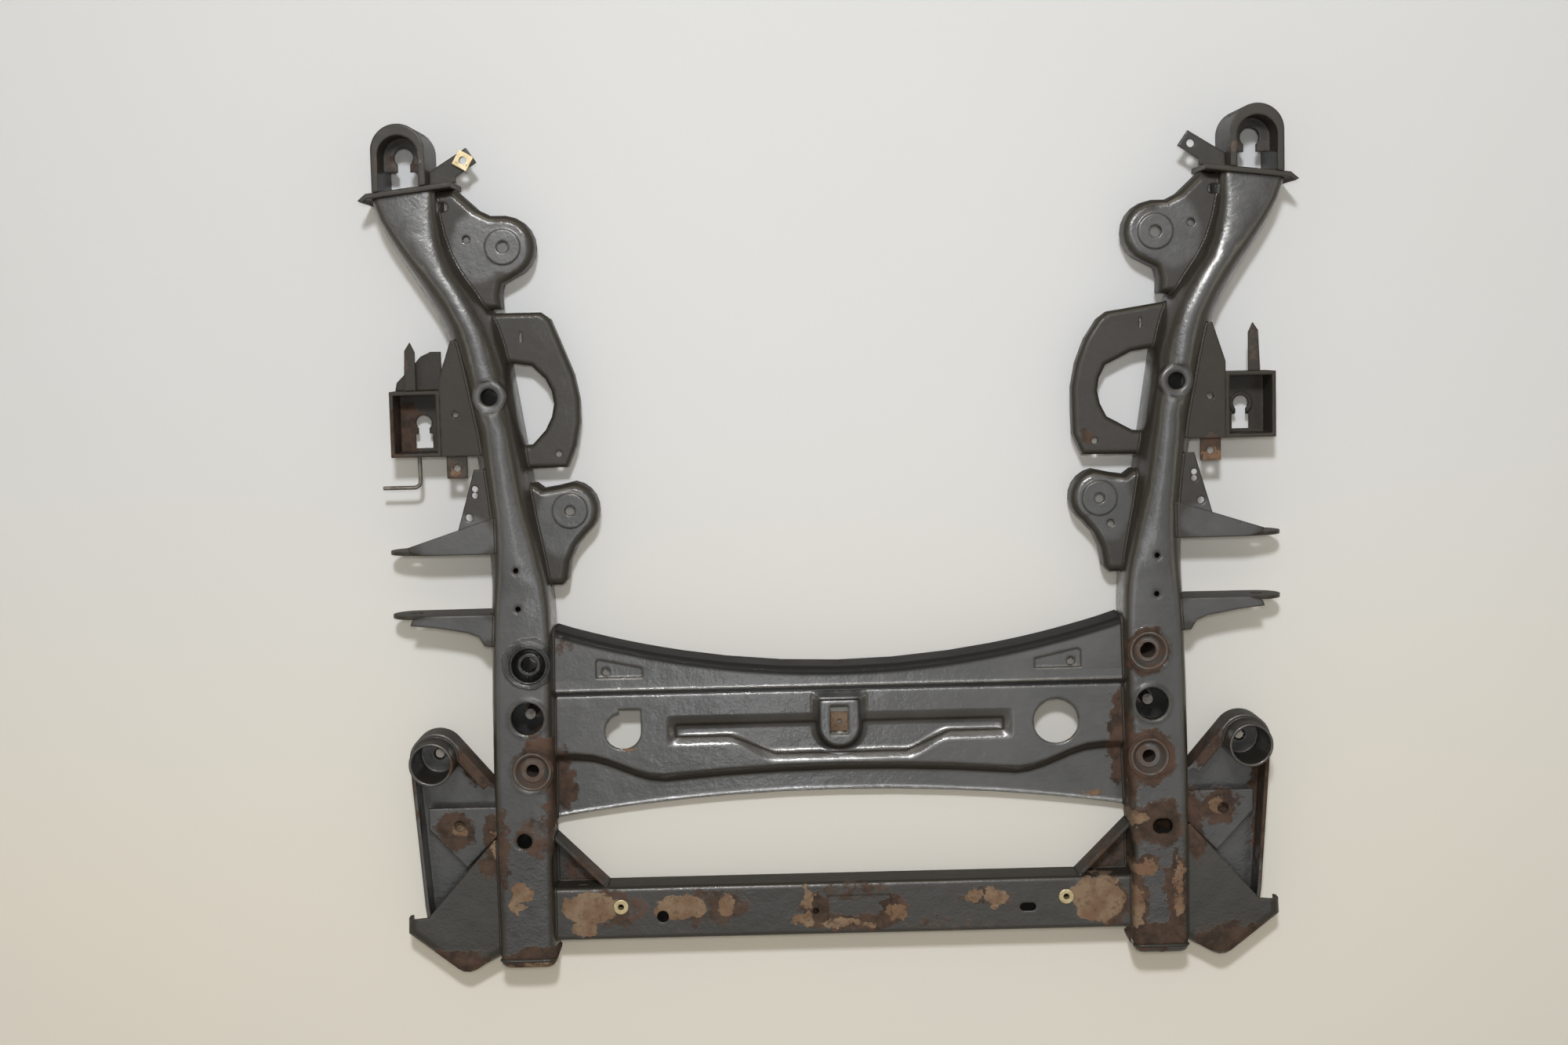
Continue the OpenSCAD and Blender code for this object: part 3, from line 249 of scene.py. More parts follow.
# The room's light, linear: overhead, on the far side and on the near side, and where each gives way to
# the next.
SKY_TOP = (0.385, 0.355, 0.290, 1.0)
SKY_FAR = (0.24, 0.23, 0.20, 1.0)
SKY_NEAR = (0.44, 0.375, 0.27, 1.0)
SKY_ACROSS = (-0.7, 0.5)
SKY_RISE = (0.25, 0.95)

# The floor: half its width in metres, and where along y its far tone gives way to its near tone.
FLOOR_HALF = 6.0
FLOOR_TURN = (0.35, -0.30)


class Graph:
    """A short way to write the node tree of a material."""

    def __init__(self, name):
        self.material = bpy.data.materials.new(name)
        self.material.use_nodes = True
        self.tree = self.material.node_tree
        self.tree.nodes.clear()
        self.shader = self.node("ShaderNodeBsdfPrincipled")
        output = self.node("ShaderNodeOutputMaterial")
        self.tree.links.new(self.shader.outputs[0], output.inputs["Surface"])
        self.place = self.node("ShaderNodeTexCoord").outputs["Object"]

    def node(self, kind, **settings):
        made = self.tree.nodes.new(kind)
        for key, value in settings.items():
            setattr(made, key, value)
        return made

    def put(self, socket, value):
        """Links an output to a socket, or sets the socket to a constant."""
        if isinstance(value, bpy.types.NodeSocket):
            self.tree.links.new(value, socket)
        elif value is not None:
            socket.default_value = value

    def math(self, operation, a, b=None, c=None, clamp=False):
        made = self.node("ShaderNodeMath", operation=operation, use_clamp=clamp)
        for socket, value in zip(made.inputs, (a, b, c)):
            self.put(socket, value)
        return made.outputs[0]

    def vector(self, operation, a, b=None):
        made = self.node("ShaderNodeVectorMath", operation=operation)
        self.put(made.inputs[0], a)
        self.put(made.inputs[1], b)
        return made.outputs["Value" if operation in ("LENGTH", "DOT_PRODUCT") else "Vector"]

    def noise(self, scale, detail, rough, colour=False):
        made = self.node("ShaderNodeTexNoise")
        self.put(made.inputs["Vector"], self.place)
        made.inputs["Scale"].default_value = scale
        made.inputs["Detail"].default_value = detail
        made.inputs["Roughness"].default_value = rough
        return made.outputs["Color" if colour else "Fac"]

    def fit(self, value, low, high, start=0.0, end=1.0):
        """Maps low..high to start..end, clamped."""
        made = self.node("ShaderNodeMapRange", interpolation_type="SMOOTHSTEP")
        names = ("Value", "From Min", "From Max", "To Min", "To Max")
        for name, x in zip(names, (value, low, high, start, end)):
            self.put(made.inputs[name], x)
        return made.outputs[0]

    def mix(self, share, a, b):
        """Mixes two colours."""
        made = self.node("ShaderNodeMix", data_type="RGBA")
        self.put(made.inputs[0], share)
        for socket, value in ((made.inputs[6], a), (made.inputs[7], b)):
            self.put(socket, (*value, 1.0) if isinstance(value, tuple) else value)
        return made.outputs[2]

    def blend(self, share, a, b):
        """Mixes two numbers."""
        made = self.node("ShaderNodeMix", data_type="FLOAT")
        for socket, value in zip(made.inputs[:1] + made.inputs[2:4], (share, a, b)):
            self.put(socket, value)
        return made.outputs[0]

    def most(self, values):
        """The greatest of some numbers."""
        found = values[0]
        for value in values[1:]:
            found = self.math("MAXIMUM", found, value)
        return found

    def facing(self, axis):
        """The surface normal's share along x, y or z."""
        split = self.node("ShaderNodeSeparateXYZ")
        self.put(split.inputs[0], self.node("ShaderNodeNewGeometry").outputs["Normal"])
        return split.outputs[axis]

    def along(self, axis):
        """The place along x, y or z."""
        split = self.node("ShaderNodeSeparateXYZ")
        self.put(split.inputs[0], self.place)
        return split.outputs[axis]

    def spots(self, places, wobble):
        """A mask around places seen from above, with a ragged edge."""
        noise = self.noise(52.0, 6.0, 0.65, colour=True)
        shift = self.vector("SCALE", self.vector("SUBTRACT", noise, (0.5, 0.5, 0.5)))
        shift.node.inputs["Scale"].default_value = wobble
        point = self.vector("MULTIPLY", self.vector("ADD", self.place, shift), (1.0, 1.0, 0.0))
        found = []
        for x, y, wide, high, strength in places:
            away = self.vector("DIVIDE", self.vector("SUBTRACT", point, (x, y, 0.0)), (wide, high, 1.0))
            found.append(self.fit(self.vector("LENGTH", away), 1.0, 0.6, 0.0, strength))
        return self.most(found)

    def rounded(self, radius):
        """The normal of a surface whose edges are rounded over."""
        bevel = self.node("ShaderNodeBevel", samples=6)
        bevel.inputs["Radius"].default_value = radius
        return bevel.outputs[0]

    def edge(self, radius):
        """A mask of sharp outer and inner edges."""
        normal = self.node("ShaderNodeNewGeometry").outputs["Normal"]
        return self.fit(self.vector("DOT_PRODUCT", self.rounded(radius), normal), 0.995, 0.86)

    def hollow(self, reach):
        """A mask of corners and crevices."""
        made = self.node("ShaderNodeAmbientOcclusion", samples=4)
        made.inputs["Distance"].default_value = reach
        return self.math("SUBTRACT", 1.0, made.outputs["AO"], clamp=True)

    def bump(self, height, distance, under=None):
        made = self.node("ShaderNodeBump")
        made.inputs["Distance"].default_value = distance
        self.put(made.inputs["Height"], height)
        self.put(made.inputs["Normal"], under)
        return made.outputs[0]

    def finish(self, colour, rough, normal, metal=None, coat=None):
        """Sets the shader's inputs and returns the material."""
        wanted = (("Base Color", colour), ("Roughness", rough), ("Normal", normal), ("Metallic", metal),
                  ("Coat Weight", coat))
        for name, value in wanted:
            self.put(self.shader.inputs[name], value)
        return self.material


def ragged(g, mask, scale, reach, low, high):
    """Breaks the edge of a mask up with noise."""
    grain = g.math("MULTIPLY", g.math("SUBTRACT", g.noise(scale, 8.0, 0.72), 0.5), reach)
    return g.fit(g.math("ADD", mask, grain), low, high)


def pressing(g, under):
    """Soft walls for the crossmember's groove and boss, and turned shading at its step and rear lip."""
    x, y, z = (g.along(axis) for axis in "XYZ")
    aside = g.math("ABSOLUTE", x)
    low = g.fit(aside, GROOVE_TURN[0], GROOVE_TURN[1], GROOVE_Y[1], GROOVE_Y[2])
    below = g.math("SUBTRACT", GROOVE_Y[0], y)
    above = g.math("SUBTRACT", y, low)
    inside = g.math("SMOOTH_MIN", below, above, GROOVE_CORNER[0])
    inside = g.math("SMOOTH_MIN", inside, g.math("SUBTRACT", GROOVE_X, aside), GROOVE_CORNER[1])
    sunk = g.fit(inside, -GROOVE_WALL, GROOVE_WALL, 0.0, -GROOVE_DEEP)
    sunk = g.math("MULTIPLY", sunk, g.fit(z, PANEL_Z + PANEL_FADE[0], PANEL_Z + PANEL_FADE[1], 1.0, 0.0))
    round_boss = g.node("ShaderNodeCombineXYZ")
    g.put(round_boss.inputs[0], x)
    g.put(round_boss.inputs[1], g.math("MINIMUM", g.math("SUBTRACT", y, BOSS_Y), 0.0))
    reach = g.math("SUBTRACT", BOSS_R, g.vector("LENGTH", round_boss.outputs[0]))
    reach = g.math("SMOOTH_MIN", reach, g.math("SUBTRACT", BOSS_TOP, y), BOSS_CORNER)
    risen = g.fit(reach, *BOSS_WALL, 0.0, GROOVE_DEEP)
    rear = g.math("MULTIPLY_ADD", g.math("MULTIPLY", x, x), LIP_CURVE, LIP_Y)
    lip = g.math("SUBTRACT", y, rear)
    lip = g.math("MULTIPLY", g.fit(lip, *LIP_FROM), g.fit(lip, *LIP_TO))
    front, back = STEP_Y
    step = g.math("MULTIPLY", g.fit(y, back, back + STEP_FADE), g.fit(y, front, front - STEP_FADE))
    flip = g.node("ShaderNodeCombineXYZ")
    flip.inputs[0].default_value = 1.0
    flip.inputs[2].default_value = 1.0
    g.put(flip.inputs[1], g.fit(g.math("MAXIMUM", lip, step), 0.0, 1.0, 1.0, -1.0))
    turned = g.vector("MULTIPLY", under, flip.outputs[0])
    return g.bump(g.math("ADD", sunk, risen), 1.0, turned)


def base_coat(g, fine, tone, matt):
    """The colour of the paint, bluish on top with brown painted shade on the sides, and the share of dust in
    its corners.
    """
    deep, pale = (tuple(tone * c for c in colour) for colour in (PAINT_TOP, PAINT_PALE))
    top = g.mix(g.fit(g.noise(8.0, 6.0, 0.65), 0.36, 0.70), deep, pale)
    if matt:
        top = g.mix(matt, top, PAINT_DULL_AND_SIDE_SHADE)
    # Faces turned away from up take the brown: painted shade on the sides.
    colour = g.mix(g.fit(g.facing("Z"), 0.66, 0.985), PAINT_DULL_AND_SIDE_SHADE, top)
    dust = g.math("MULTIPLY", g.fit(g.hollow(DUST_REACH), 0.25, 0.95), g.fit(fine, 0.30, 0.75, 0.05, 0.32))
    colour = g.mix(dust, colour, DUST)
    wear = g.math("MULTIPLY", g.edge(EDGE_WEAR), g.fit(g.noise(60.0, 5.0, 0.7), 0.42, 0.66))
    return g.mix(g.math("MULTIPLY", wear, 0.55), colour, BARE), dust


def add_rust(g, colour, rust, tan):
    """Lays specks, brown rust and tan rust over a colour; returns the colour and the share of rust."""
    speck = g.fit(g.noise(230.0, 3.0, 0.7), 0.68, 0.77)
    masks = [g.math("MULTIPLY", speck, g.fit(g.noise(9.0, 6.0, 0.65), 0.52, 0.68, 0.0, 0.8))]
    if rust:
        masks.append(g.spots(rust, RUST_WOBBLE))
    rusty = ragged(g, g.most(masks), 95.0, 1.7, 0.28, 0.70)
    brown = g.mix(g.fit(g.noise(48.0, 6.0, 0.7), 0.36, 0.64), RUST_DARK, RUST_BROWN)
    brown = g.mix(g.fit(g.noise(21.0, 5.0, 0.6), 0.50, 0.66), brown, RUST_RED)
    colour = g.mix(rusty, colour, brown)
    if not tan:
        return colour, rusty
    bright = ragged(g, g.spots(tan, TAN_WOBBLE), 70.0, 1.7, 0.38, 0.60)
    sandy = g.mix(g.fit(g.noise(33.0, 5.0, 0.6), 0.40, 0.62), RUST_ORANGE, RUST_TAN)
    sandy = g.mix(g.fit(g.noise(120.0, 7.0, 0.75), 0.50, 0.68), sandy, RUST_BROWN)
    return g.mix(bright, colour, sandy), g.math("MAXIMUM", rusty, bright)


def grime_and_shade_lines(g):
    """Masks of lines on the crossmember: grime along the middle of its step, and grime with painted shade
    along its front bend.
    """
    x, y = g.along("X"), g.along("Y")
    middle = g.math("ABSOLUTE", g.math("SUBTRACT", y, sum(STEP_Y) / 2))
    bend = g.math("MULTIPLY_ADD", g.math("MULTIPLY", x, x), BEND_CURVE, BEND_Y)
    bend = g.math("ABSOLUTE", g.math("SUBTRACT", y, bend))
    return g.fit(middle, *STEP_LINE, 0.0, LINE_GRIME_AND_SHADE), g.fit(bend, *BEND_SHADE_LINE, 0.0, LINE_GRIME_AND_SHADE)


def paint(name, rust=(), tan=(), grease=(), tone=1.0, dull=0.0, soft=SOFT_EDGE, pressed=False):
    """Satin black paint with dust, bare edges, rust and grease by place; on pressed panels, painted shade
    along the front bend.
    """
    g = Graph(name)
    fine = g.noise(150.0, 4.0, 0.6)
    matt = None
    if dull:
        clean = ragged(g, g.spots(CLEAN, STAIN_WOBBLE), 40.0, 0.5, 0.1, 0.9)
        matt = g.math("MULTIPLY", g.math("SUBTRACT", 1.0, clean), dull)
    colour, dust = base_coat(g, fine, tone, matt)
    colour, rusty = add_rust(g, colour, rust, tan)
    grime = [rusty, dust, g.fit(g.facing("Y"), 0.40, 0.70, 0.0, 0.85)]
    if pressed:
        step, bend = grime_and_shade_lines(g)
        grime += [step, bend]
        # Painted shade: along the front bend the paint is darkened to near black.
        colour = g.mix(bend, colour, GREASE_AND_SHADE_BLACK)
    if matt:
        grime.append(g.math("MULTIPLY", matt, 0.8))
    grimy = g.most(grime)
    rough = g.blend(g.fit(fine, 0.3, 0.7), *ROUGH_CLEAN)
    rough = g.blend(g.fit(g.noise(17.0, 4.0, 0.6), 0.42, 0.66), rough, ROUGH_WORN)
    rough = g.blend(grimy, rough, ROUGH_GRIMY)
    height = g.blend(rusty, g.math("MULTIPLY", g.noise(310.0, 3.0, 0.5), 0.35), g.noise(330.0, 8.0, 0.75))
    if grease:
        wet = ragged(g, g.spots(grease, STAIN_WOBBLE), 80.0, 0.6, 0.40, 0.60)
        colour = g.mix(wet, colour, GREASE_AND_SHADE_BLACK)
        rough = g.blend(wet, rough, ROUGH_WET_PAINT)
        height = g.blend(wet, height, g.math("MULTIPLY", g.noise(190.0, 5.0, 0.6), 1.6))
    under = g.rounded(soft)
    if pressed:
        under = pressing(g, under)
    wavy = g.bump(g.noise(34.0, 2.0, 0.5), WAVE_DEEP, under)
    normal = g.bump(height, GRAIN_DEEP, wavy)
    g.put(g.shader.inputs["Specular IOR Level"], g.blend(grimy, *SPECULAR))
    g.put(g.shader.inputs["Coat Normal"], normal)
    g.put(g.shader.inputs["Coat Roughness"], COAT_ROUGH)
    coat = g.math("MULTIPLY", g.math("SUBTRACT", 1.0, grimy, clamp=True), COAT)
    return g.finish(colour, rough, normal, coat=coat)


def zinc(name):
    """Dull yellow zinc plating with white bloom and brown stains."""
    g = Graph(name)
    colour = g.mix(g.fit(g.noise(110.0, 6.0, 0.65), 0.35, 0.7), ZINC_DULL, ZINC_BLOOM)
    stain = g.fit(g.noise(160.0, 7.0, 0.7), 0.58, 0.70)
    colour = g.mix(stain, colour, RUST_BROWN)
    rough = g.blend(stain, ROUGH_ZINC, ROUGH_GRIMY)
    return g.finish(colour, rough, g.bump(g.noise(700.0, 4.0, 0.6), ZINC_DEEP), metal=0.35)


def bare_steel(name, greasy=False, rust=(0.36, 0.58), bare=SLEEVE_STEEL, metal=0.1):
    """Bare turned steel under brown rust; where greasy, the sleeve at -X is black with wet grease."""
    g = Graph(name)
    rusty = g.fit(g.noise(60.0, 7.0, 0.7), *rust)
    colour = g.mix(rusty, bare, RUST_BROWN)
    rough = g.blend(rusty, ROUGH_STEEL, ROUGH_GRIMY)
    height = g.noise(380.0, 7.0, 0.7)
    if greasy:
        wet = g.fit(g.along("X"), 0.001, -0.001)
        colour = g.mix(wet, colour, GREASE_AND_SHADE_BLACK)
        rough = g.blend(wet, rough, ROUGH_WET_STEEL)
        height = g.blend(wet, height, g.math("MULTIPLY", g.noise(170.0, 5.0, 0.6), 2.2))
    return g.finish(colour, rough, g.bump(height, STEEL_DEEP), metal=metal)


def node_group_smooth():
    """Geometry nodes that drop stored normals and keep only true edges sharp."""
    tree = bpy.data.node_groups.new("smooth_by_angle", "GeometryNodeTree")
    tree.interface.new_socket("Geometry", in_out="INPUT", socket_type="NodeSocketGeometry")
    tree.interface.new_socket("Geometry", in_out="OUTPUT", socket_type="NodeSocketGeometry")
    first = tree.nodes.new("NodeGroupInput")
    last = tree.nodes.new("NodeGroupOutput")
    drop = tree.nodes.new("GeometryNodeRemoveAttribute")
    drop.inputs["Name"].default_value = "custom_normal"
    faces = tree.nodes.new("GeometryNodeSetShadeSmooth")
    edges = tree.nodes.new("GeometryNodeSetShadeSmooth")
    edges.domain = "EDGE"
    angle = tree.nodes.new("GeometryNodeInputMeshEdgeAngle")
    sharp = tree.nodes.new("FunctionNodeCompare")
    sharp.operation = "LESS_THAN"
    sharp.inputs[1].default_value = math.radians(SMOOTH_ANGLE)
    tree.links.new(first.outputs[0], drop.inputs["Geometry"])
    tree.links.new(drop.outputs["Geometry"], faces.inputs["Geometry"])
    tree.links.new(faces.outputs["Geometry"], edges.inputs["Geometry"])
    tree.links.new(angle.outputs["Unsigned Angle"], sharp.inputs[0])
    tree.links.new(sharp.outputs[0], edges.inputs["Shade Smooth"])
    tree.links.new(edges.outputs["Geometry"], last.inputs[0])
    return tree


SMOOTH = node_group_smooth()


def round_edges(obj):
    """Joins the solid's split points, merges flat faces, rounds its edges and smooths its shading."""
    weld = obj.modifiers.new("weld", "WELD")
    weld.merge_threshold = MERGE
    flat = obj.modifiers.new("flat", "DECIMATE")
    flat.decimate_type = "DISSOLVE"
    flat.angle_limit = math.radians(FLAT_ANGLE)
    bevel = obj.modifiers.new("round", "BEVEL")
    bevel.width = EDGE_ROUND
    bevel.segments = EDGE_STEPS
    bevel.limit_method = "ANGLE"
    bevel.angle_limit = math.radians(EDGE_ANGLE)
    smooth = obj.modifiers.new("smooth", "NODES")
    smooth.node_group = SMOOTH
    normals = obj.modifiers.new("normals", "WEIGHTED_NORMAL")
    normals.keep_sharp = True


def dress(name, material):
    """Gives a node its material and rounded edges."""
    obj = NODES[name]
    obj.data.materials.clear()
    obj.data.materials.append(material)
    round_edges(obj)


def clean_mesh(name):
    """The node's CAD mesh with its split points joined and its flat faces merged."""
    mesh = bmesh.new()
    mesh.from_mesh(NODES[name].data)
    mesh.transform(NODES[name].matrix_world)
    bmesh.ops.remove_doubles(mesh, verts=mesh.verts, dist=MERGE)
    bmesh.ops.dissolve_limit(mesh, angle_limit=math.radians(FLAT_ANGLE), verts=mesh.verts, edges=mesh.edges)
    mesh.normal_update()
    return mesh


def seams(mesh, near):
    """Chains of points along the sharp edges that lie against a neighbour and can be seen from above."""
    links = {}
    for edge in mesh.edges:
        if len(edge.link_faces) != 2 or edge.calc_face_angle(0.0) < WELD_FOLD:
            continue
        if max(face.normal.z for face in edge.link_faces) < WELD_UP:
            continue
        a, b = (vert.co for vert in edge.verts)
        if all(near.find_nearest(point, WELD_NEAR)[0] for point in (a, b, (a + b) / 2)):
            for vert in edge.verts:
                links.setdefault(vert, []).append(edge)
    chains, used = [], set()
    for start in sorted(links, key=lambda vert: (len(links[vert]), vert.index)):
        while True:
            chain, here = [start.co.copy()], start
            while True:
                edge = next((e for e in links[here] if e not in used), None)
                if edge is None:
                    break
                used.add(edge)
                here = edge.other_vert(here)
                chain.append(here.co.copy())
            if len(chain) < 2:
                break
            chains.append(chain)
    return chains


def even(chain, step):
    """The chain's points at an even step, softened."""
    lengths = [(b - a).length for a, b in zip(chain, chain[1:])]
    count = max(3, int(sum(lengths) / step) + 1)
    points, leg, gone = [], 0, 0.0
    for i in range(count):
        want = sum(lengths) * i / (count - 1)
        while leg < len(lengths) - 1 and gone + lengths[leg] < want:
            gone += lengths[leg]
            leg += 1
        points.append(chain[leg].lerp(chain[leg + 1], min(1.0, (want - gone) / max(lengths[leg], 1e-9))))
    for _ in range(2):
        inner = [(a + b * 2 + c) / 4 for a, b, c in zip(points, points[1:], points[2:])]
        points = [points[0]] + inner + [points[-1]]
    return points


def bead(points, chance):
    """A rippled tube along the points, thin at its ends."""
    verts, faces = [], []
    base, wave, loose = WELD_HEIGHT
    side = None
    last = len(points) - 1
    for i, point in enumerate(points):
        ahead = (points[min(i + 1, last)] - points[max(i - 1, 0)]).normalized()
        side = side or ahead.orthogonal()
        side = (side - ahead * side.dot(ahead)).normalized()
        other = ahead.cross(side)
        ripple = abs(math.sin(math.pi * i * WELD_STEP / WELD_RIPPLE))
        thick = base + wave * ripple + chance.uniform(-loose, loose)
        radius = WELD_RADIUS * thick * (WELD_END if i in (0, last) else 1.0)
        for k in range(WELD_SIDES):
            turn = 2 * math.pi * k / WELD_SIDES
            verts.append(point + (side * math.cos(turn) + other * math.sin(turn)) * radius)
    for i in range(last):
        for k in range(WELD_SIDES):
            a, b = i * WELD_SIDES + k, i * WELD_SIDES + (k + 1) % WELD_SIDES
            faces.append((a, b, b + WELD_SIDES, a + WELD_SIDES))
    faces.append(tuple(reversed(range(WELD_SIDES))))
    faces.append(tuple(range(last * WELD_SIDES, (last + 1) * WELD_SIDES)))
    return verts, faces


def add_welds(names, material):
    """Weld beads where each named piece meets its neighbours."""
    trees = {}
    for part in frame["record"]["subparts"]:
        mesh = clean_mesh(part["node"])
        trees[part["node"]] = (mesh, BVHTree.FromBMesh(mesh))
    for name in names:
        chance = random.Random(name)
        verts, faces = [], []
        mesh, _ = trees[name]
        for other, (_, tree) in trees.items():
            if other == name or other in NOT_WELDED:
                continue
            for chain in seams(mesh, tree):
                if sum((b - a).length for a, b in zip(chain, chain[1:])) < WELD_LEAST:
                    continue
                more, skin = bead(even(chain, WELD_STEP), chance)
                faces += [tuple(i + len(verts) for i in face) for face in skin]
                verts += more
        if not verts:
            continue
        made = bpy.data.meshes.new(f"weld_{name}")
        made.from_pydata(verts, [], faces)
        made.polygons.foreach_set("use_smooth", [True] * len(made.polygons))
        made.materials.append(material)
        piece = bpy.data.objects.new(f"weld_{name}", made)
        bpy.context.scene.collection.objects.link(piece)
        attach(piece, "root")
    for mesh, _ in trees.values():
        mesh.free()


def add_plate(name, box, material):
    """A small plate: a box given by its low and high corner, with a square hole in the middle."""
    (x0, y0, z0), (x1, y1, z1) = box
    xs = (x0, (x0 + x1) / 2 - PLATE_HOLE, (x0 + x1) / 2 + PLATE_HOLE, x1)
    ys = (y0, (y0 + y1) / 2 - PLATE_HOLE, (y0 + y1) / 2 + PLATE_HOLE, y1)
    mesh = bmesh.new()
    grid = [[mesh.verts.new((x, y, z1)) for x in xs] for y in ys]
    faces = [mesh.faces.new((grid[j][i], grid[j][i + 1], grid[j + 1][i + 1], grid[j + 1][i]))
             for j in range(3) for i in range(3) if (i, j) != (1, 1)]
    sides = bmesh.ops.extrude_face_region(mesh, geom=faces)["geom"]
    lower = [v for v in sides if isinstance(v, bmesh.types.BMVert)]
    bmesh.ops.translate(mesh, vec=(0, 0, z0 - z1), verts=lower)
    bmesh.ops.recalc_face_normals(mesh, faces=mesh.faces)
    made = bpy.data.meshes.new(name)
    mesh.to_mesh(made)
    mesh.free()
    made.materials.append(material)
    piece = bpy.data.objects.new(name, made)
    bpy.context.scene.collection.objects.link(piece)
    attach(piece, "root")


def add_floor():
    """A plain pale floor, cool on the far side and warm on the near side."""
    mesh = bpy.data.meshes.new("floor")
    far = FLOOR_HALF
    mesh.from_pydata([(-far, -far, 0), (far, -far, 0), (far, far, 0), (-far, far, 0)], [], [(0, 1, 2, 3)])
    floor = bpy.data.objects.new("floor", mesh)
    bpy.context.scene.collection.objects.link(floor)
    g = Graph("floor")
    tone = g.mix(g.fit(g.along("Y"), *FLOOR_TURN), FLOOR_FAR, FLOOR_NEAR)
    tone = g.mix(g.fit(g.noise(1.6, 4.0, 0.5), 0.35, 0.65, 0.0, 0.25), tone, FLOOR_GREY)
    g.shader.inputs["Specular IOR Level"].default_value = 0.0
    mesh.materials.append(g.finish(tone, ROUGH_FLOOR, None))


def add_lamps():
    """Area lamps, each seen by matt light or by gloss alone."""
    for name, place, aim, wide, high, power, colour, seen_in in LAMPS:
        light = bpy.data.lights.new(name, "AREA")
        light.shape = "RECTANGLE"
        light.size = wide
        light.size_y = high
        light.energy = power
        light.color = colour
        lamp = bpy.data.objects.new(name, light)
        lamp.location = place
        lamp.rotation_euler = (Vector(aim) - Vector(place)).to_track_quat("-Z", "Y").to_euler()
        lamp.visible_diffuse = seen_in != "gloss"
        lamp.visible_glossy = seen_in != "matt"
        lamp.visible_camera = False
        bpy.context.scene.collection.objects.link(lamp)


def add_room():
    """A soft light all round, from overhead to the far and the near side."""
    world = bpy.data.worlds.new("room")
    world.use_nodes = True
    nodes, links = world.node_tree.nodes, world.node_tree.links
    split = nodes.new("ShaderNodeSeparateXYZ")
    links.new(nodes.new("ShaderNodeTexCoord").outputs["Generated"], split.inputs[0])

    def shade(axis, ends, low, high):
        """Mixes two colours along an axis; a colour may be another shade."""
        share = nodes.new("ShaderNodeMapRange")
        share.inputs["From Min"].default_value, share.inputs["From Max"].default_value = ends
        links.new(split.outputs[axis], share.inputs["Value"])
        mixed = nodes.new("ShaderNodeMix")
        mixed.data_type = "RGBA"
        links.new(share.outputs[0], mixed.inputs[0])
        for socket, colour in ((mixed.inputs[6], low), (mixed.inputs[7], high)):
            if isinstance(colour, tuple):
                socket.default_value = colour
            else:
                links.new(colour, socket)
        return mixed.outputs[2]

    rim = shade("Y", SKY_ACROSS, SKY_NEAR, SKY_FAR)
    back = nodes["Background"]
    links.new(shade("Z", SKY_RISE, rim, SKY_TOP), back.inputs["Color"])
    back.inputs["Strength"].default_value = 1.0
    bpy.context.scene.world = world


def add_camera():
    """The camera of the photograph."""
    data = bpy.data.cameras.new("photo")
    data.lens = LENS_MM
    data.sensor_width = SENSOR_MM
    data.clip_start, data.clip_end = CLIP
    obj = bpy.data.objects.new("photo", data)
    tilt = Matrix.Rotation(-math.radians(CAMERA_TILT), 4, "X")
    roll = Matrix.Rotation(-math.radians(CAMERA_ROLL), 4, "Z")
    obj.matrix_world = Matrix.Translation(CAMERA_PLACE) @ tilt @ roll
    bpy.context.scene.collection.objects.link(obj)
    bpy.context.scene.camera = obj


# Paint by group of nodes, and the group of each node that isn't plain.
PAINT = {
    "plain": paint("paint", INNER_RUST, dull=0.75),
    "rail_left": paint("paint_rail_left", RAIL_LEFT_RUST, RAIL_LEFT_TAN, SLEEVE_GREASE, soft=SOFT_RAIL),
    "rail_right": paint("paint_rail_right", RAIL_RIGHT_RUST, RAIL_RIGHT_TAN, soft=SOFT_RAIL),
    "cross": paint("paint_crossmember", CROSS_RUST, CROSS_TAN, tone=1.35, soft=SOFT_CROSS, pressed=True),
    "bar": paint("paint_crossbar", BAR_RUST, BAR_TAN, dull=0.45),
    "corner": paint("paint_corner", CORNER_RUST, CORNER_TAN, tone=1.4, dull=0.1),
    "cover": paint("paint_cover", CORNER_RUST, CORNER_TAN, dull=0.5),
    "box": paint("paint_box", BOX_RUST, BOX_TAN, dull=0.9),
}
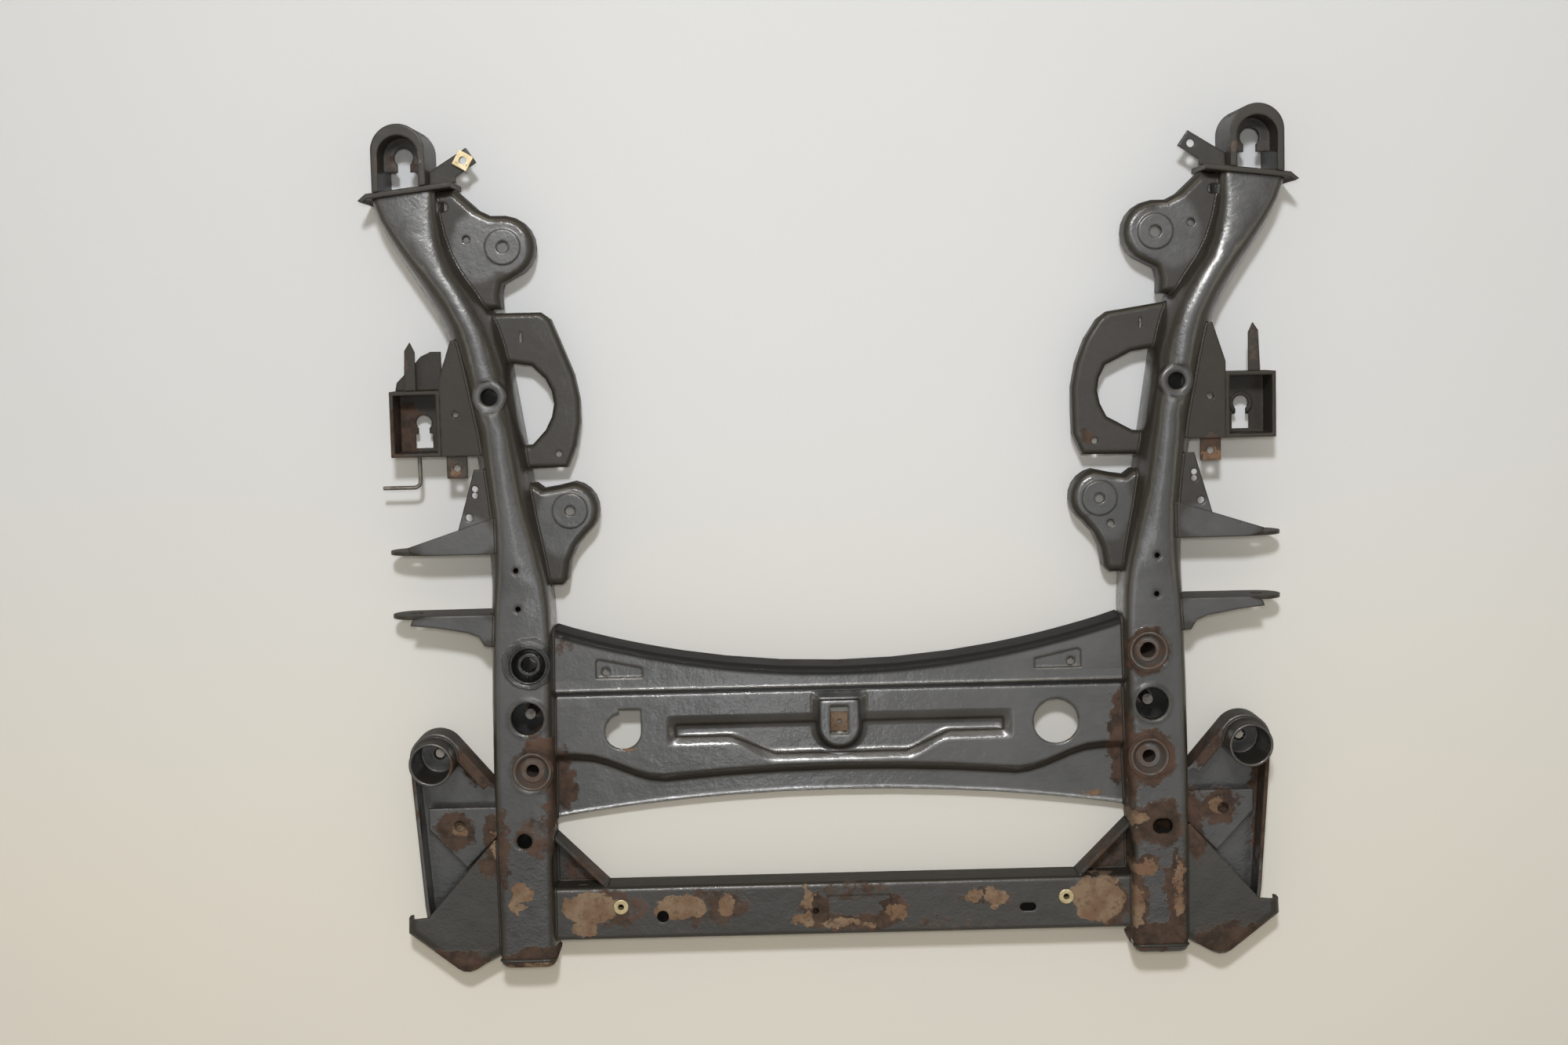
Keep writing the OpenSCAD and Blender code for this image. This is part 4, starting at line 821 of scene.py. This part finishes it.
GROUP = {
    "rail_upper_left": "rail_left", "rail_lower_left": "rail_left", "rail_cap_left": "rail_left",
    "rail_upper_right": "rail_right", "rail_lower_right": "rail_right", "rail_cap_right": "rail_right",
    "crossmember": "cross", "crossbar": "bar",
    "corner_left": "corner", "corner_right": "corner", "cover_left": "cover", "cover_right": "cover",
    "brace_left": "corner", "brace_right": "corner",
    "corner_sleeve_left": "corner", "corner_sleeve_right": "corner",
    "box_left": "box", "box_right": "box", "link_left": "box", "link_right": "box", "box_arch": "box",
    "clip_left": "box", "clip_right": "box", "nut_tab_left": "box", "nut_tab_right": "box",
}

# Nodes that no weld bead goes to, and nodes that have beads along their seams.
NOT_WELDED = ("body_sleeves_front", "body_sleeves_rear", "rail_studs", "tab_nut", "hook_rod", "bar_inserts")
WELDED = (
    "crossmember", "crossbar", "bar_gusset_left", "bar_gusset_right", "corner_left", "corner_right",
    "brace_left", "brace_right", "cover_left", "cover_right", "fork_front_left", "fork_front_right",
    "fork_rear_left", "fork_rear_right", "web_left", "web_right", "guard_left", "guard_right",
    "front_pad_left", "front_pad_right", "rear_pad_left", "rear_pad_right", "link_left", "link_right",
    "ear_left", "ear_right", "shelf_left", "shelf_right", "rail_cap_left", "rail_cap_right",
)

# Bare metals; what isn't paint or steel is zinc.
ZINC = zinc("zinc")
ROD = bare_steel("steel_rod", rust=(0.48, 0.66), bare=ROD_STEEL, metal=0.4)
STEEL = {
    "body_sleeves_front": bare_steel("steel_front", greasy=True),
    "body_sleeves_rear": bare_steel("steel_rear"),
    "hook_rod": ROD,
    "rail_studs": ROD,
}

for part in frame["record"]["subparts"]:
    node = part["node"]
    if part["material_slot"] == "paint":
        dress(node, PAINT[GROUP.get(node, "plain")])
    else:
        dress(node, STEEL.get(node, ZINC))
add_welds(WELDED, PAINT["plain"])
add_plate("slot_plate", SLOT_PLATE, paint("paint_slot", tan=SLOT_TAN))

add_floor()
add_lamps()
add_room()
add_camera()
bpy.context.scene.view_settings.view_transform = "Standard"

bpy.context.view_layer.update()
